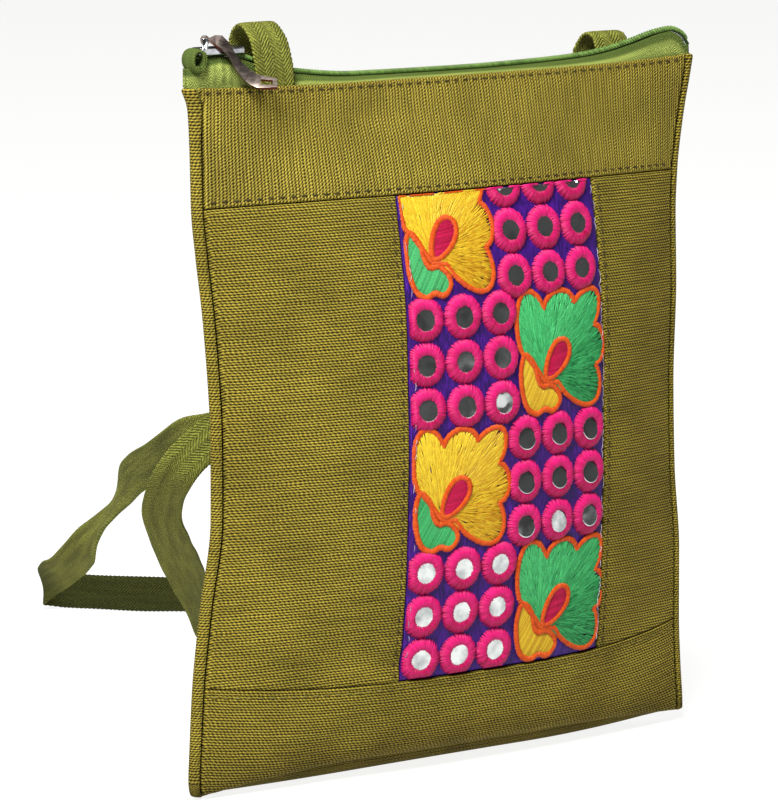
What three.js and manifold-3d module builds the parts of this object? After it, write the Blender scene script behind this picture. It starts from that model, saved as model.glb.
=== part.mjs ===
// A small jute sling bag with a mirror-work panel on its front, stuffed and standing on its base.
// Millimetres: +X to the viewer's right, the front faces -Y, +Z up, origin on the floor under the middle.
import * as THREE from 'three';
import { mergeVertices } from 'three/addons/utils/BufferGeometryUtils.js';
import Module from 'manifold-3d';

const wasm = await Module();
wasm.setup();

// Cloth, tape and the clearance between neighbouring pieces
const CLOTH = 1.6;
const TAPE = 0.9;
const GAP = 0.3;
const PANEL_DROP = 0.6; // the embroidered panel lies under the folded edges of its neighbours
const STRIP = 0.5; // the back cloth wrapped round each side seam on to the front
const LENS_POWER = 2.2; // how full a level section is between its side seams
const LEVEL_SHARE = 0.35; // the middle share of a section that keeps one height
const THIN_EDGE = 0.3; // smallest half thickness of a folded edge
const FOOT_HEIGHT = 20; // below this the wall thickens upwards as well as inwards
const SEAM = 0.01; // half of a level seam's gap, as a share of a row of SECTIONS

// Level sections of the bag, a row for each, from the seam under the base up to the mouth.
// Heights and depths are measured at the middle, left and right are half widths, leftHeight and rightHeight
// are the heights at the side seams, and edge is half a side seam's thickness.
const SECTIONS = table('girth frontHeight frontDepth backHeight backDepth leftHeight rightHeight left right edge', [
  [0, 5, 0, 5, 0, 0.5, 3.4, 103.2, 100.2, 0.3],
  [1, 6.6, 8.5, 0, 5, 1.4, 4.4, 106.4, 101.9, 2.0],
  [2, 10.5, 13, 0, 23.5, 6.2, 8.4, 107.2, 101.8, 2.4],
  [3, 20, 16.4, 13, 25.4, 19.2, 20.5, 106.4, 101.0, 2.4],
  [4, 33.5, 18.9, 33.5, 25.8, 37.7, 37.7, 105.0, 100.4, 2.4],
  [5, 60, 22.4, 60, 26, 63, 63, 101.6, 100.6, 2.4],
  [6, 92, 25.2, 92, 26.2, 93, 93, 96.6, 98.6, 2.4],
  [7, 122, 25.8, 122, 26, 122, 122, 96.2, 98.2, 2.4],
  [8, 158, 24.3, 158, 24.2, 158, 158, 98.2, 99.6, 2.4],
  [9, 182, 20.5, 182, 20, 181.5, 181.5, 100.8, 99.4, 2.4],
  [10, 198.4, 16.6, 198.4, 16, 197.4, 197.4, 102.2, 100.2, 2.4],
  [11, 216, 11.8, 216, 11.6, 216.5, 216.5, 102.4, 103.0, 2.4],
  [12, 228, 9, 228, 9, 230, 230, 102.8, 105.8, 3.0],
  [13, 234.6, 7.5, 234.6, 7.5, 237.4, 237.4, 105.3, 107.2, 3.4],
]);
const BASE_GIRTH = 0;
const BOTTOM_SEAM_GIRTH = 4;
const BAND_SEAM_GIRTH = 10;
const MOUTH_GIRTH = 13;

// Dents pressed into the front, a row for each: middle, half length, half width, slope and depth
const FOLDS = table('x z length width slope depth', [
  [-68, 42, 24, 4.5, -4, 1.7],
  [-56, 13, 12, 7, 18, 2.0],
  [-94, 118, 7, 42, 0, 1.0],
  [88, 44, 16, 5, 24, 1.2],
  [-38, 226, 20, 9, 0, 0.9],
]);

// Upright seams of the embroidered panel, and its mirrors in four blocks of three by three
const PANEL_LEFT = { low: -33, high: -31 };
const PANEL_RIGHT = { low: 53.4, high: 53.4 };
const MIRROR_PITCH = 15.16;
const MIRROR_RADIUS = 4.2;
const MIRROR_THICKNESS = 0.7;
const MIRROR_SIDES = 12;
const MIRRORS_ACROSS = 3;
const MIRROR_BLOCKS = table('name x z', [
  ['upper_right', 12.8, 198.9],
  ['upper_left', -25.3, 156.8],
  ['lower_right', 14.7, 113.4],
  ['lower_left', -25.6, 70.8],
]);

// The zip along the mouth: the middle of its coil, which rises in an ear at each end
const ZIP_LINE = table('x height', [
  [-101.5, 244.6],
  [-98.5, 247.6],
  [-92, 248.2],
  [-84, 247.2],
  [-72, 243.4],
  [-60, 240.6],
  [-37, 238.4],
  [10, 238.0],
  [36, 238.4],
  [56, 239.2],
  [67, 240.4],
  [79, 242.8],
  [91, 245.7],
  [97.5, 246.4],
  [102.5, 244.6],
  [105.4, 241.2],
]);
const TAPE_ENDS = [-100, 103.4];
const TAPE_TUCK_GIRTH = 12.3; // how far down inside the mouth the tapes are sewn
const TAPE_CREST = 0.85; // each tape's distance from the middle plane under the coil
const COIL_HALF_WIDTH = 1.7;
const COIL_HALF_HEIGHT = 1.2;
const COIL_SIDES = 6;

// The strap: flat webbing sewn in at both ends of the mouth, falling behind the bag on to the floor.
// A row for each point of its route, with the direction that its width takes there.
const STRAP_WIDTH = 14;
const STRAP_THICKNESS = 1.5;
const STRAP_STEPS = 3; // facets between two points of the route
const STRAP_ROUTE = table('x y z acrossX acrossY acrossZ', [
  [-70.5, -3.35, 231, -1, 0.0575, 0],
  [-70.5, -3.05, 237.5, -1, 0.0575, 0],
  [-72, -3.8, 245, -1, 0.08, 0],
  [-73.2, -2.6, 252.4, -1, 0.05, 0],
  [-73.4, 3.4, 256.8, -1, 0, 0],
  [-72.6, 10, 253, -1, -0.05, 0],
  [-72, 12.6, 244, -1, -0.05, 0],
  [-72, 12.6, 225, -1, -0.05, 0],
  [-62, 22, 165, -1, 0, 0],
  [-58, 31, 130, -0.8, 0.3, 0.5],
  [-77, 47, 105, -0.5, 0.48, 0.72],
  [-66.2, 78, 84.3, -0.8, 0.59, 0.15],
  [-46.7, 104, 67.2, -0.82, 0.56, -0.07],
  [-22.2, 134, 49.9, -0.75, 0.44, -0.48],
  [5.2, 168, 31.2, -0.49, 0.19, -0.85],
  [29, 202, 14.6, -0.26, 0, -0.96],
  [47, 226, 7.8, 0, 0, -1],
  [82, 252, 7.2, 0, 0, -1],
  [89, 260, 7.2, 0, 0, -1],
  [83, 268, 7.2, 0, 0, -1],
  [58, 291, 7.2, 0, 0, -1],
  [41, 313, 7.2, 0, 0, -1],
  [36.5, 320, 7.4, 0, 0, -1],
  [31.5, 320, 9, 0.1, -0.1, -1],
  [27.5, 309, 14.5, 0.33, -0.39, -0.86],
  [12.7, 268, 28.5, 0.62, -0.54, -0.56],
  [-13.1, 200, 58.4, -0.38, 0.09, -0.93],
  [-37.2, 145, 82.5, 0.22, -0.33, -0.92],
  [-52.8, 98, 98.4, 0.4, -0.45, -0.8],
  [-62.5, 66, 110, 0.28, -0.36, -0.9],
  [-59, 46, 116, 0.1, -0.25, -0.97],
  [-30, 38, 132, 0.25, -0.1, -0.96],
  [8, 34, 170, 0.55, 0, -0.83],
  [48, 25, 214, 0.85, 0, -0.5],
  [70, 17, 230, 1, 0, -0.15],
  [73.6, 14.4, 240.5, 1, 0, 0],
  [74.4, 10.6, 245.4, 1, -0.03, 0],
  [75, 5.6, 244.6, 1, -0.0588, 0],
  [75, 2.9, 237.5, 1, -0.0588, 0],
  [75, 3.2, 231, 1, -0.0588, 0],
]);
const STRAP_ROOTS = { front: -70.5, back: 75 };
const ROOT_FADE = 7; // how far beyond the strap's edges the tape stands off the cloth

// The slider at the zip's left end, and the puller that swings on its pin
const SLIDER_X = -91;
const SLIDER_LENGTH = 17;
const SLIDER_HALF_WIDTH = 2.9;
const SLIDER_PLATE = 0.9;
const SLIDER_SKIRT = 1.5;
const PIN_X = -96;
const PIN_RADIUS = 0.6;
const PIN_RISE = 2.2; // height of the pin above the slider's plate
const PULLER_TURN = -32; // degrees that the puller points forward of the zip's line
const BARREL_LENGTH = 4.4;
const BARREL_RADIUS = 1.5;
const BARREL_BORE = 0.95;
const LUG = 1;
const LUG_LENGTH = 1.8;
const LEAF_WIDTH = 5.6;
const LEAF_THICKNESS = 1;
const LEAF_SLOT = { start: 18, end: 22, width: 2.4, height: 8 };
// The leaf's centre line and its roll about that line, in degrees
const LEAF_CURVE = table('along drop roll', [
  [1.2, 0, 0],
  [4, -0.4, 35],
  [6.6, -1.8, 60],
  [10, -7.4, 66],
  [13.6, -11.8, 62],
  [17.4, -14, 45],
  [23.4, -14.6, 25],
]);
const ROUND_SIDES = 14;

// Rows of numbers with named columns
function table(names, rows) {
  const columns = names.split(' ');
  return rows.map((row) => Object.fromEntries(columns.map((name, i) => [name, row[i]])));
}

// A smooth curve through a column of a table that never runs past its rows
function smooth(rows, key, column, at) {
  const last = rows.length - 1;
  let low = 0;
  while (low < last - 1 && at >= rows[low + 1][key]) low += 1;
  const span = (i) => rows[i + 1][key] - rows[i][key];
  const slope = (i) => (rows[i + 1][column] - rows[i][column]) / span(i);
  const tangent = (i) => {
    if (i === 0) return slope(0);
    if (i === last) return slope(last - 1);
    const product = slope(i - 1) * slope(i);
    return product <= 0 ? 0 : (2 * product) / (slope(i - 1) + slope(i));
  };
  const width = span(low);
  const t = THREE.MathUtils.clamp((at - rows[low][key]) / width, 0, 1);
  const start = rows[low][column];
  const end = rows[low + 1][column];
  const easeIn = t * t * (3 - 2 * t);
  const leave = t * (1 - t) ** 2 * width * tangent(low);
  const arrive = t * t * (t - 1) * width * tangent(low + 1);
  return start + (end - start) * easeIn + leave + arrive;
}

// One level section of the bag, drawn in by an inset for the inside of its wall
function sectionAt(girth, inset) {
  const at = (column) => smooth(SECTIONS, 'girth', column, girth);
  const edge = Math.max(at('edge') - inset, THIN_EDGE);
  const face = (side) => ({
    height: at(`${side}Height`),
    depth: Math.max(at(`${side}Depth`) - inset, GAP / 2),
  });
  return {
    edge,
    left: at('left') - inset - edge,
    right: at('right') - inset - edge,
    leftHeight: at('leftHeight'),
    rightHeight: at('rightHeight'),
    front: face('front'),
    back: face('back'),
  };
}

// How far the folds press the front in at a point
function foldDepth(x, z) {
  let depth = 0;
  for (const fold of FOLDS) {
    const angle = THREE.MathUtils.degToRad(fold.slope);
    const along = (x - fold.x) * Math.cos(angle) + (z - fold.z) * Math.sin(angle);
    const across = (z - fold.z) * Math.cos(angle) - (x - fold.x) * Math.sin(angle);
    depth += fold.depth * Math.exp(-((along / fold.length) ** 2) - (across / fold.width) ** 2);
  }
  return depth;
}

// A point on the front (side -1) or the back (side 1) of the bag
function wallPoint(side, x, girth, inset) {
  const section = sectionAt(girth, inset);
  const face = side < 0 ? section.front : section.back;
  const reach = x < 0 ? section.left : section.right;
  const cornerHeight = x < 0 ? section.leftHeight : section.rightHeight;
  const share = Math.min(Math.abs(x) / reach, 1);
  const fullness = 1 - share ** LENS_POWER;
  const turn = Math.max(0, (share - LEVEL_SHARE) / (1 - LEVEL_SHARE));
  const height = THREE.MathUtils.lerp(face.height, cornerHeight, turn * turn);
  const depth = section.edge + (face.depth - section.edge) * fullness;
  const dent = side < 0 ? foldDepth(x, height) * fullness : 0;
  const foot = inset * Math.max(0, 1 - height / FOOT_HEIGHT);
  return new THREE.Vector3(x, side * depth + dent, height + foot);
}

// A point on the fold round a side seam, at an angle from the front to the back
function seamPoint(side, angle, girth, inset) {
  const section = sectionAt(girth, inset);
  const reach = side < 0 ? section.left : section.right;
  const front = wallPoint(-1, side * reach, girth, inset);
  const back = wallPoint(1, side * reach, girth, inset);
  const height = THREE.MathUtils.lerp(front.z, back.z, (1 - Math.cos(angle)) / 2);
  const x = side * (reach + section.edge * Math.sin(angle));
  return new THREE.Vector3(x, -section.edge * Math.cos(angle), height);
}

// The row position at which the front reaches a height
function girthAt(x, z) {
  let low = BASE_GIRTH;
  let high = MOUTH_GIRTH;
  while (high - low > 1e-4) {
    const middle = (low + high) / 2;
    if (wallPoint(-1, x, middle, 0).z < z) low = middle;
    else high = middle;
  }
  return low;
}

// A geometry from points and triangles, turned to face outwards
function facingOut(points, triangles) {
  let volume = 0;
  for (const [a, b, c] of triangles) {
    volume += points[a].dot(points[b].clone().cross(points[c]));
  }
  const order = volume < 0 ? triangles.map(([a, b, c]) => [a, c, b]) : triangles;
  const geometry = new THREE.BufferGeometry();
  geometry.setAttribute('position', new THREE.Float32BufferAttribute(points.flatMap((p) => p.toArray()), 3));
  geometry.setIndex(order.flat());
  return geometry;
}

// A closed sheet: pointAt(column, row, layer) gives its outer face as layer 0 and its inner one as layer 1
function sheet(columns, rows, pointAt) {
  const points = [];
  const triangles = [];
  const stride = columns + 1;
  const layerSize = stride * (rows + 1);
  for (let layer = 0; layer < 2; layer += 1) {
    for (let row = 0; row <= rows; row += 1) {
      for (let column = 0; column <= columns; column += 1) points.push(pointAt(column, row, layer));
    }
  }
  const index = (column, row, layer) => layer * layerSize + row * stride + column;
  const quad = (a, b, c, d) => triangles.push([a, b, c], [a, c, d]);
  const cell = (c, r, layer) => [[c, r], [c + 1, r], [c + 1, r + 1], [c, r + 1]].map(([i, j]) => index(i, j, layer));
  for (let row = 0; row < rows; row += 1) {
    for (let column = 0; column < columns; column += 1) {
      quad(...cell(column, row, 0));
      quad(...cell(column, row, 1).reverse());
    }
  }
  const rim = (c0, r0, c1, r1) => quad(index(c0, r0, 0), index(c0, r0, 1), index(c1, r1, 1), index(c1, r1, 0));
  for (let column = 0; column < columns; column += 1) {
    rim(column, 0, column + 1, 0);
    rim(column + 1, rows, column, rows);
  }
  for (let row = 0; row < rows; row += 1) {
    rim(0, row + 1, 0, row);
    rim(columns, row, columns, row + 1);
  }
  return facingOut(points, triangles);
}

// A closed bar through rings of points, capped at both ends
function sweep(rings) {
  const sides = rings[0].length;
  const points = rings.flat();
  const triangles = [];
  for (let ring = 0; ring < rings.length - 1; ring += 1) {
    for (let side = 0; side < sides; side += 1) {
      const next = (side + 1) % sides;
      const [a, b] = [ring * sides + side, ring * sides + next];
      triangles.push([a, b, b + sides], [a, b + sides, a + sides]);
    }
  }
  const start = points.length - sides;
  for (let side = 1; side < sides - 1; side += 1) {
    triangles.push([0, side + 1, side], [start, start + side, start + side + 1]);
  }
  return facingOut(points, triangles);
}

// Joining and cutting of closed geometries
function toManifold(geometry) {
  const bare = geometry.clone();
  bare.deleteAttribute('normal');
  bare.deleteAttribute('uv');
  const merged = mergeVertices(bare);
  const vertProperties = merged.attributes.position.array;
  const triVerts = new Uint32Array(merged.index.array);
  return new wasm.Manifold(new wasm.Mesh({ numProp: 3, vertProperties, triVerts }));
}

function toGeometry(manifold) {
  const mesh = manifold.getMesh();
  const geometry = new THREE.BufferGeometry();
  geometry.setAttribute('position', new THREE.BufferAttribute(new Float32Array(mesh.vertProperties), 3));
  geometry.setIndex(Array.from(mesh.triVerts));
  return geometry;
}

function joined(geometries) {
  return geometries.map(toManifold).reduce((whole, next) => whole.add(next));
}

// Materials, with the colours that daylight gives them
const finish = (color, roughness, metalness = 0) => new THREE.MeshStandardMaterial({ color, roughness, metalness });
const JUTE = finish('#7d7129', 0.9);
const EMBROIDERY = finish('#4a2a86', 0.8);
const WEBBING = finish('#6f7433', 0.9);
const ZIP_TAPE = finish('#7f9a4a', 0.85);
const ZIP_COIL = finish('#6f8f45', 0.6);
const CHROME = finish('#c9ccd0', 0.15, 1);
const PULLER_METAL = finish('#a89a94', 0.3, 1);
const MIRROR = finish('#d8dce0', 0.05, 1);

const bag = new THREE.Group();

function addPiece(name, geometry, material) {
  const mesh = new THREE.Mesh(geometry, material);
  mesh.name = name;
  bag.add(mesh);
  return mesh;
}

// The front: panels cut from one surface between upright and level seams
const stripEdge = (side) => (girth) => {
  const section = sectionAt(girth, 0);
  return side * ((side < 0 ? section.left : section.right) - STRIP - GAP);
};
const uprightSeam = (ends, shift) => (girth) => {
  const share = (girth - BOTTOM_SEAM_GIRTH) / (BAND_SEAM_GIRTH - BOTTOM_SEAM_GIRTH);
  return THREE.MathUtils.lerp(ends.low, ends.high, share) + shift;
};

function addFrontPanel(name, { left, right, low, high, columns, rows, drop = 0, material = JUTE }) {
  const from = low === BASE_GIRTH ? low : low + SEAM;
  const to = high === MOUTH_GIRTH ? high : high - SEAM;
  const pointAt = (column, row, layer) => {
    const girth = THREE.MathUtils.lerp(from, to, row / rows);
    const x = THREE.MathUtils.lerp(left(girth), right(girth), column / columns);
    return wallPoint(-1, x, girth, drop + layer * CLOTH);
  };
  addPiece(name, sheet(columns, rows, pointAt), material);
}

const FULL_WIDTH = { left: stripEdge(-1), right: stripEdge(1) };
const BETWEEN_SEAMS = { low: BOTTOM_SEAM_GIRTH, high: BAND_SEAM_GIRTH, rows: 18 };
addFrontPanel('top_band', { ...FULL_WIDTH, low: BAND_SEAM_GIRTH, high: MOUTH_GIRTH, columns: 30, rows: 6 });
addFrontPanel('bottom_band', { ...FULL_WIDTH, low: BASE_GIRTH, high: BOTTOM_SEAM_GIRTH, columns: 30, rows: 8 });
addFrontPanel('left_panel', {
  ...BETWEEN_SEAMS,
  left: stripEdge(-1),
  right: uprightSeam(PANEL_LEFT, -GAP / 2),
  columns: 9,
});
addFrontPanel('right_panel', {
  ...BETWEEN_SEAMS,
  left: uprightSeam(PANEL_RIGHT, GAP / 2),
  right: stripEdge(1),
  columns: 6,
});
addFrontPanel('embroidered_panel', {
  ...BETWEEN_SEAMS,
  left: uprightSeam(PANEL_LEFT, GAP / 2),
  right: uprightSeam(PANEL_RIGHT, -GAP / 2),
  columns: 10,
  drop: PANEL_DROP,
  material: EMBROIDERY,
});

// The back: one cloth that wraps round both side seams on to the front
const SEAM_ANGLES = [45, 90, 135].map(THREE.MathUtils.degToRad);
const BACK_COLUMNS = 24;
const BACK_ROWS = 20;
const reachAt = (side, girth, inset) => sectionAt(girth, inset)[side < 0 ? 'left' : 'right'];
const stripStations = (side) => [
  (girth, inset) => wallPoint(-1, side * (reachAt(side, girth, 0) - STRIP), girth, inset),
  (girth, inset) => wallPoint(-1, side * reachAt(side, girth, inset), girth, inset),
  ...SEAM_ANGLES.map((angle) => (girth, inset) => seamPoint(side, angle, girth, inset)),
];
const backStations = [
  ...stripStations(-1),
  ...Array.from({ length: BACK_COLUMNS + 1 }, (_, i) => (girth, inset) => {
    const share = (2 * i) / BACK_COLUMNS - 1;
    return wallPoint(1, share * reachAt(share, girth, inset), girth, inset);
  }),
  ...stripStations(1).reverse(),
];
const backGeometry = sheet(backStations.length - 1, BACK_ROWS, (column, row, layer) => {
  return backStations[column]((MOUTH_GIRTH * row) / BACK_ROWS, layer * CLOTH);
});
addPiece('back_panel', backGeometry, JUTE);

// The zip: two tapes sewn inside the mouth, which stand off the cloth where the strap's ends are sewn in
const zipHeight = (x) => smooth(ZIP_LINE, 'x', 'height', x);
const TAPE_COLUMNS = 36;

function standOff(x, root) {
  const beyond = Math.abs(x - root) - STRAP_WIDTH / 2 - GAP;
  const fade = THREE.MathUtils.clamp(1 - beyond / ROOT_FADE, 0, 1);
  return (STRAP_THICKNESS + 1.6 * GAP) * fade * fade * (3 - 2 * fade);
}

function tapePoint(side, x, row, offset) {
  const root = side < 0 ? STRAP_ROOTS.front : STRAP_ROOTS.back;
  const sewnAt = (girth) => {
    const point = wallPoint(side, x, girth, CLOTH + GAP + TAPE / 2);
    const depth = Math.max(Math.abs(point.y) - standOff(x, root), TAPE_CREST);
    return new THREE.Vector3(x, side * (depth + offset), point.z);
  };
  const lip = sewnAt(MOUTH_GIRTH);
  const coilFloor = Math.min(zipHeight(x - COIL_HALF_WIDTH), zipHeight(x), zipHeight(x + COIL_HALF_WIDTH));
  const crestHeight = coilFloor - COIL_HALF_HEIGHT - GAP;
  const crest = new THREE.Vector3(x, side * (TAPE_CREST + offset), crestHeight);
  const crown = lip.clone().lerp(crest, 0.55);
  return [sewnAt(TAPE_TUCK_GIRTH), lip, crown, crest][row];
}

for (const [name, side] of [['zip_tape_front', -1], ['zip_tape_back', 1]]) {
  const geometry = sheet(TAPE_COLUMNS, 3, (column, row, layer) => {
    const x = THREE.MathUtils.lerp(...TAPE_ENDS, column / TAPE_COLUMNS);
    return tapePoint(side, x, row, TAPE * (0.5 - layer));
  });
  addPiece(name, geometry, ZIP_TAPE);
}

const COIL_COLUMNS = 44;
const coilRings = Array.from({ length: COIL_COLUMNS + 1 }, (_, i) => {
  const x = THREE.MathUtils.lerp(ZIP_LINE[0].x, ZIP_LINE.at(-1).x, i / COIL_COLUMNS);
  return Array.from({ length: COIL_SIDES }, (_corner, j) => {
    const angle = ((j + 0.5) * 2 * Math.PI) / COIL_SIDES;
    const rise = COIL_HALF_HEIGHT * Math.sin(angle);
    return new THREE.Vector3(x, COIL_HALF_WIDTH * Math.cos(angle), zipHeight(x) + rise);
  });
});
addPiece('zip_coil', sweep(coilRings), ZIP_COIL);

// The slider: a channel over the coil, with two lugs that hold the puller's pin
const sliderFloor = zipHeight(SLIDER_X) + COIL_HALF_HEIGHT + GAP;
const pinCentre = new THREE.Vector3(PIN_X, 0, sliderFloor + SLIDER_PLATE + PIN_RISE);
const turned = new THREE.Matrix4().makeRotationZ(THREE.MathUtils.degToRad(PULLER_TURN)).setPosition(pinCentre);

function sliderChannel() {
  const outer = SLIDER_HALF_WIDTH;
  const inner = SLIDER_HALF_WIDTH - SLIDER_PLATE;
  const outline = [[-outer, -SLIDER_SKIRT], [-inner, -SLIDER_SKIRT], [-inner, 0], [inner, 0]];
  outline.push([inner, -SLIDER_SKIRT], [outer, -SLIDER_SKIRT], [outer, 0.5], [inner, SLIDER_PLATE]);
  outline.push([-inner, SLIDER_PLATE], [-outer, 0.5]);
  const shape = new THREE.Shape(outline.map(([y, z]) => new THREE.Vector2(y, z)));
  const channel = new THREE.ExtrudeGeometry(shape, { depth: SLIDER_LENGTH, bevelEnabled: false });
  // The shape's plane becomes Y and Z, and the extrusion runs along X
  channel.applyMatrix4(new THREE.Matrix4().set(0, 0, 1, 0, 1, 0, 0, 0, 0, 1, 0, 0, 0, 0, 0, 1));
  return channel.translate(SLIDER_X - SLIDER_LENGTH / 2, 0, sliderFloor);
}

const lugOffset = BARREL_LENGTH / 2 + GAP + LUG / 2;
const lugHeight = PIN_RISE + 1.2 * LUG;
const lugs = [-1, 1].map((side) => {
  const lug = new THREE.BoxGeometry(LUG_LENGTH, LUG, lugHeight);
  lug.translate(0, side * lugOffset, lugHeight / 2 - PIN_RISE - SLIDER_PLATE / 2);
  return lug.applyMatrix4(turned);
});
const pin = new THREE.CylinderGeometry(PIN_RADIUS, PIN_RADIUS, 2 * lugOffset, ROUND_SIDES).applyMatrix4(turned);
addPiece('zip_slider', toGeometry(joined([sliderChannel(), ...lugs, pin])), CHROME);

// The puller: a barrel on the pin and an S-shaped leaf with a slot near its tip
function pullerBarrel() {
  const ring = new THREE.Shape().absarc(0, 0, BARREL_RADIUS, 0, 2 * Math.PI);
  ring.holes.push(new THREE.Path().absarc(0, 0, BARREL_BORE, 0, 2 * Math.PI, true));
  const options = { depth: BARREL_LENGTH, bevelEnabled: false, curveSegments: ROUND_SIDES };
  const barrel = new THREE.ExtrudeGeometry(ring, options);
  return barrel.translate(0, 0, -BARREL_LENGTH / 2).rotateX(Math.PI / 2);
}

function pullerLeaf() {
  const steps = 10;
  const [first, last] = [LEAF_CURVE[0].along, LEAF_CURVE.at(-1).along];
  return sheet(steps, 1, (column, row, layer) => {
    const along = THREE.MathUtils.lerp(first, last, column / steps);
    const drop = smooth(LEAF_CURVE, 'along', 'drop', along);
    const roll = THREE.MathUtils.degToRad(smooth(LEAF_CURVE, 'along', 'roll', along));
    const point = new THREE.Vector3(0, LEAF_WIDTH * (row - 0.5), LEAF_THICKNESS * (0.5 - layer));
    return point.applyAxisAngle(new THREE.Vector3(1, 0, 0), roll).add(new THREE.Vector3(along, 0, drop));
  });
}

const slotMiddle = (LEAF_SLOT.start + LEAF_SLOT.end) / 2;
const slot = new THREE.BoxGeometry(LEAF_SLOT.end - LEAF_SLOT.start, LEAF_SLOT.width, LEAF_SLOT.height);
slot.rotateX(THREE.MathUtils.degToRad(smooth(LEAF_CURVE, 'along', 'roll', slotMiddle)));
slot.translate(slotMiddle, 0, smooth(LEAF_CURVE, 'along', 'drop', slotMiddle));
const pullerSolid = joined([pullerBarrel(), pullerLeaf()]).subtract(toManifold(slot));
addPiece('zip_puller', toGeometry(pullerSolid).applyMatrix4(turned), PULLER_METAL);

// The mirrors: discs laid on the embroidered panel, cut off where the top band's seam covers them
function mirrorGeometry(topCut) {
  const outline = Array.from({ length: MIRROR_SIDES }, (_, i) => {
    const angle = ((i + 0.5) * 2 * Math.PI) / MIRROR_SIDES;
    const height = Math.min(MIRROR_RADIUS * Math.sin(angle), topCut);
    return new THREE.Vector2(MIRROR_RADIUS * Math.cos(angle), height);
  });
  return new THREE.ExtrudeGeometry(new THREE.Shape(outline), { depth: MIRROR_THICKNESS, bevelEnabled: false });
}

function panelFrame(x, z) {
  const girth = girthAt(x, z);
  const step = 0.05;
  const at = (dx, dGirth) => wallPoint(-1, x + dx, girth + dGirth, PANEL_DROP);
  const across = at(1, 0).sub(at(-1, 0)).normalize();
  const normal = across.clone().cross(at(0, step).sub(at(0, -step))).normalize();
  const up = normal.clone().cross(across);
  const origin = at(0, 0).addScaledVector(normal, GAP);
  return new THREE.Matrix4().makeBasis(across, up, normal).setPosition(origin);
}

for (const block of MIRROR_BLOCKS) {
  for (let row = 0; row < MIRRORS_ACROSS; row += 1) {
    for (let column = 0; column < MIRRORS_ACROSS; column += 1) {
      const x = block.x + column * MIRROR_PITCH;
      const z = block.z - row * MIRROR_PITCH;
      const seamHeight = wallPoint(-1, x, BAND_SEAM_GIRTH, 0).z;
      const geometry = mirrorGeometry(seamHeight - 2 * GAP - z);
      geometry.applyMatrix4(panelFrame(x, Math.min(z, seamHeight - GAP)));
      addPiece(`mirror_${block.name}_${row + 1}_${column + 1}`, geometry, MIRROR);
    }
  }
}

// The strap: a flat band swept along its route
const routeCurve = (keys) => {
  const points = STRAP_ROUTE.map((row) => new THREE.Vector3(...keys.map((key) => row[key])));
  return new THREE.CatmullRomCurve3(points, false, 'catmullrom', 0.5);
};
const route = routeCurve(['x', 'y', 'z']);
const routeAcross = routeCurve(['acrossX', 'acrossY', 'acrossZ']);
const strapRings = Array.from({ length: (STRAP_ROUTE.length - 1) * STRAP_STEPS + 1 }, (_, i) => {
  const share = i / ((STRAP_ROUTE.length - 1) * STRAP_STEPS);
  const centre = route.getPoint(share);
  const along = route.getTangent(share);
  const across = routeAcross.getPoint(share);
  across.addScaledVector(along, -across.dot(along)).normalize();
  const normal = along.clone().cross(across);
  const corner = (u, v) => {
    const point = centre.clone().addScaledVector(across, (u * STRAP_WIDTH) / 2);
    return point.addScaledVector(normal, (v * STRAP_THICKNESS) / 2);
  };
  return [corner(-1, -1), corner(1, -1), corner(1, 1), corner(-1, 1)];
});
addPiece('strap', sweep(strapRings), WEBBING);

export default bag;
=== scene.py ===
import math

import bpy
import numpy as np
from mathutils import Matrix, Vector


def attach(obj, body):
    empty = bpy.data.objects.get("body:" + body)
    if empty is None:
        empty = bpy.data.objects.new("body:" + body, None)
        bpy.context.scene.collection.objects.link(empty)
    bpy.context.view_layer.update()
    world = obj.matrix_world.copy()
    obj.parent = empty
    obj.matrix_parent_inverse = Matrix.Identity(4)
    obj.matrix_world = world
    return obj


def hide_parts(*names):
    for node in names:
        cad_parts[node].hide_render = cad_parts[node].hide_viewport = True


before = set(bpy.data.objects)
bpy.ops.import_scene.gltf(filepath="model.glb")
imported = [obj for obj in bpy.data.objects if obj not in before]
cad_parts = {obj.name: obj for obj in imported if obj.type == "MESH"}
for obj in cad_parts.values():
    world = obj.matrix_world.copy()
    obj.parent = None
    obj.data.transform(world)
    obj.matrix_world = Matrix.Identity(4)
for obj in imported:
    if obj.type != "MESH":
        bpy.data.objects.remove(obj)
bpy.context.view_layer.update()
MM = 0.001
random = np.random.default_rng(11)


def table(names, rows):
    """Rows of numbers as named columns"""
    columns = np.array(rows, float).T
    return dict(zip(names.split(), columns))


def stacked(*columns):
    """Columns of matching shapes as points"""
    return np.stack(np.broadcast_arrays(*columns), -1)


def between(first, last, share):
    return first + (last - first) * share


def add_object(name, data):
    """A new object in the scene"""
    thing = bpy.data.objects.new(name, data)
    bpy.context.scene.collection.objects.link(thing)
    return thing


# Cloth, tape and the clearance between neighbouring pieces
CLOTH = 1.6
TAPE = 0.9
GAP = 0.3
PANEL_DROP = 0.6  # the embroidered panel lies under the folded edges of its neighbours
STRIP = 0.5  # the back cloth wrapped round each side seam on to the front
STRIP_ROLL = 1.1  # how deep its edge is turned in
SIDE_GAP = 0.8  # the groove between that strip and the front cloths
LENS_POWER = 2.2  # how full a level section is between its side seams
LEVEL_SHARE = 0.35  # the middle share of a section that keeps one height
THIN_EDGE = 0.3  # smallest half thickness of a folded edge
FOOT_HEIGHT = 20  # below this the wall thickens upwards as well as inwards
EDGE_ROLL = 1.1  # radius of a turned cloth edge
SIDE_ROLL = 1.45  # radius of an edge along a side seam
FLAT_ROLL = 0.5  # radius where an edge is pressed flat
GROOVE = 0.9  # half width of the groove that a line of stitches pulls into the cloth
GROOVE_DEPTH = 0.35
PAINTED_SHADE_HEIGHT = 19  # painted shade: the jute is painted darker below this height, for the shade low on the bag near the floor
# painted shade: how dark the jute is painted at the floor
PAINTED_SHADE_SHARE = 0.5

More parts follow.
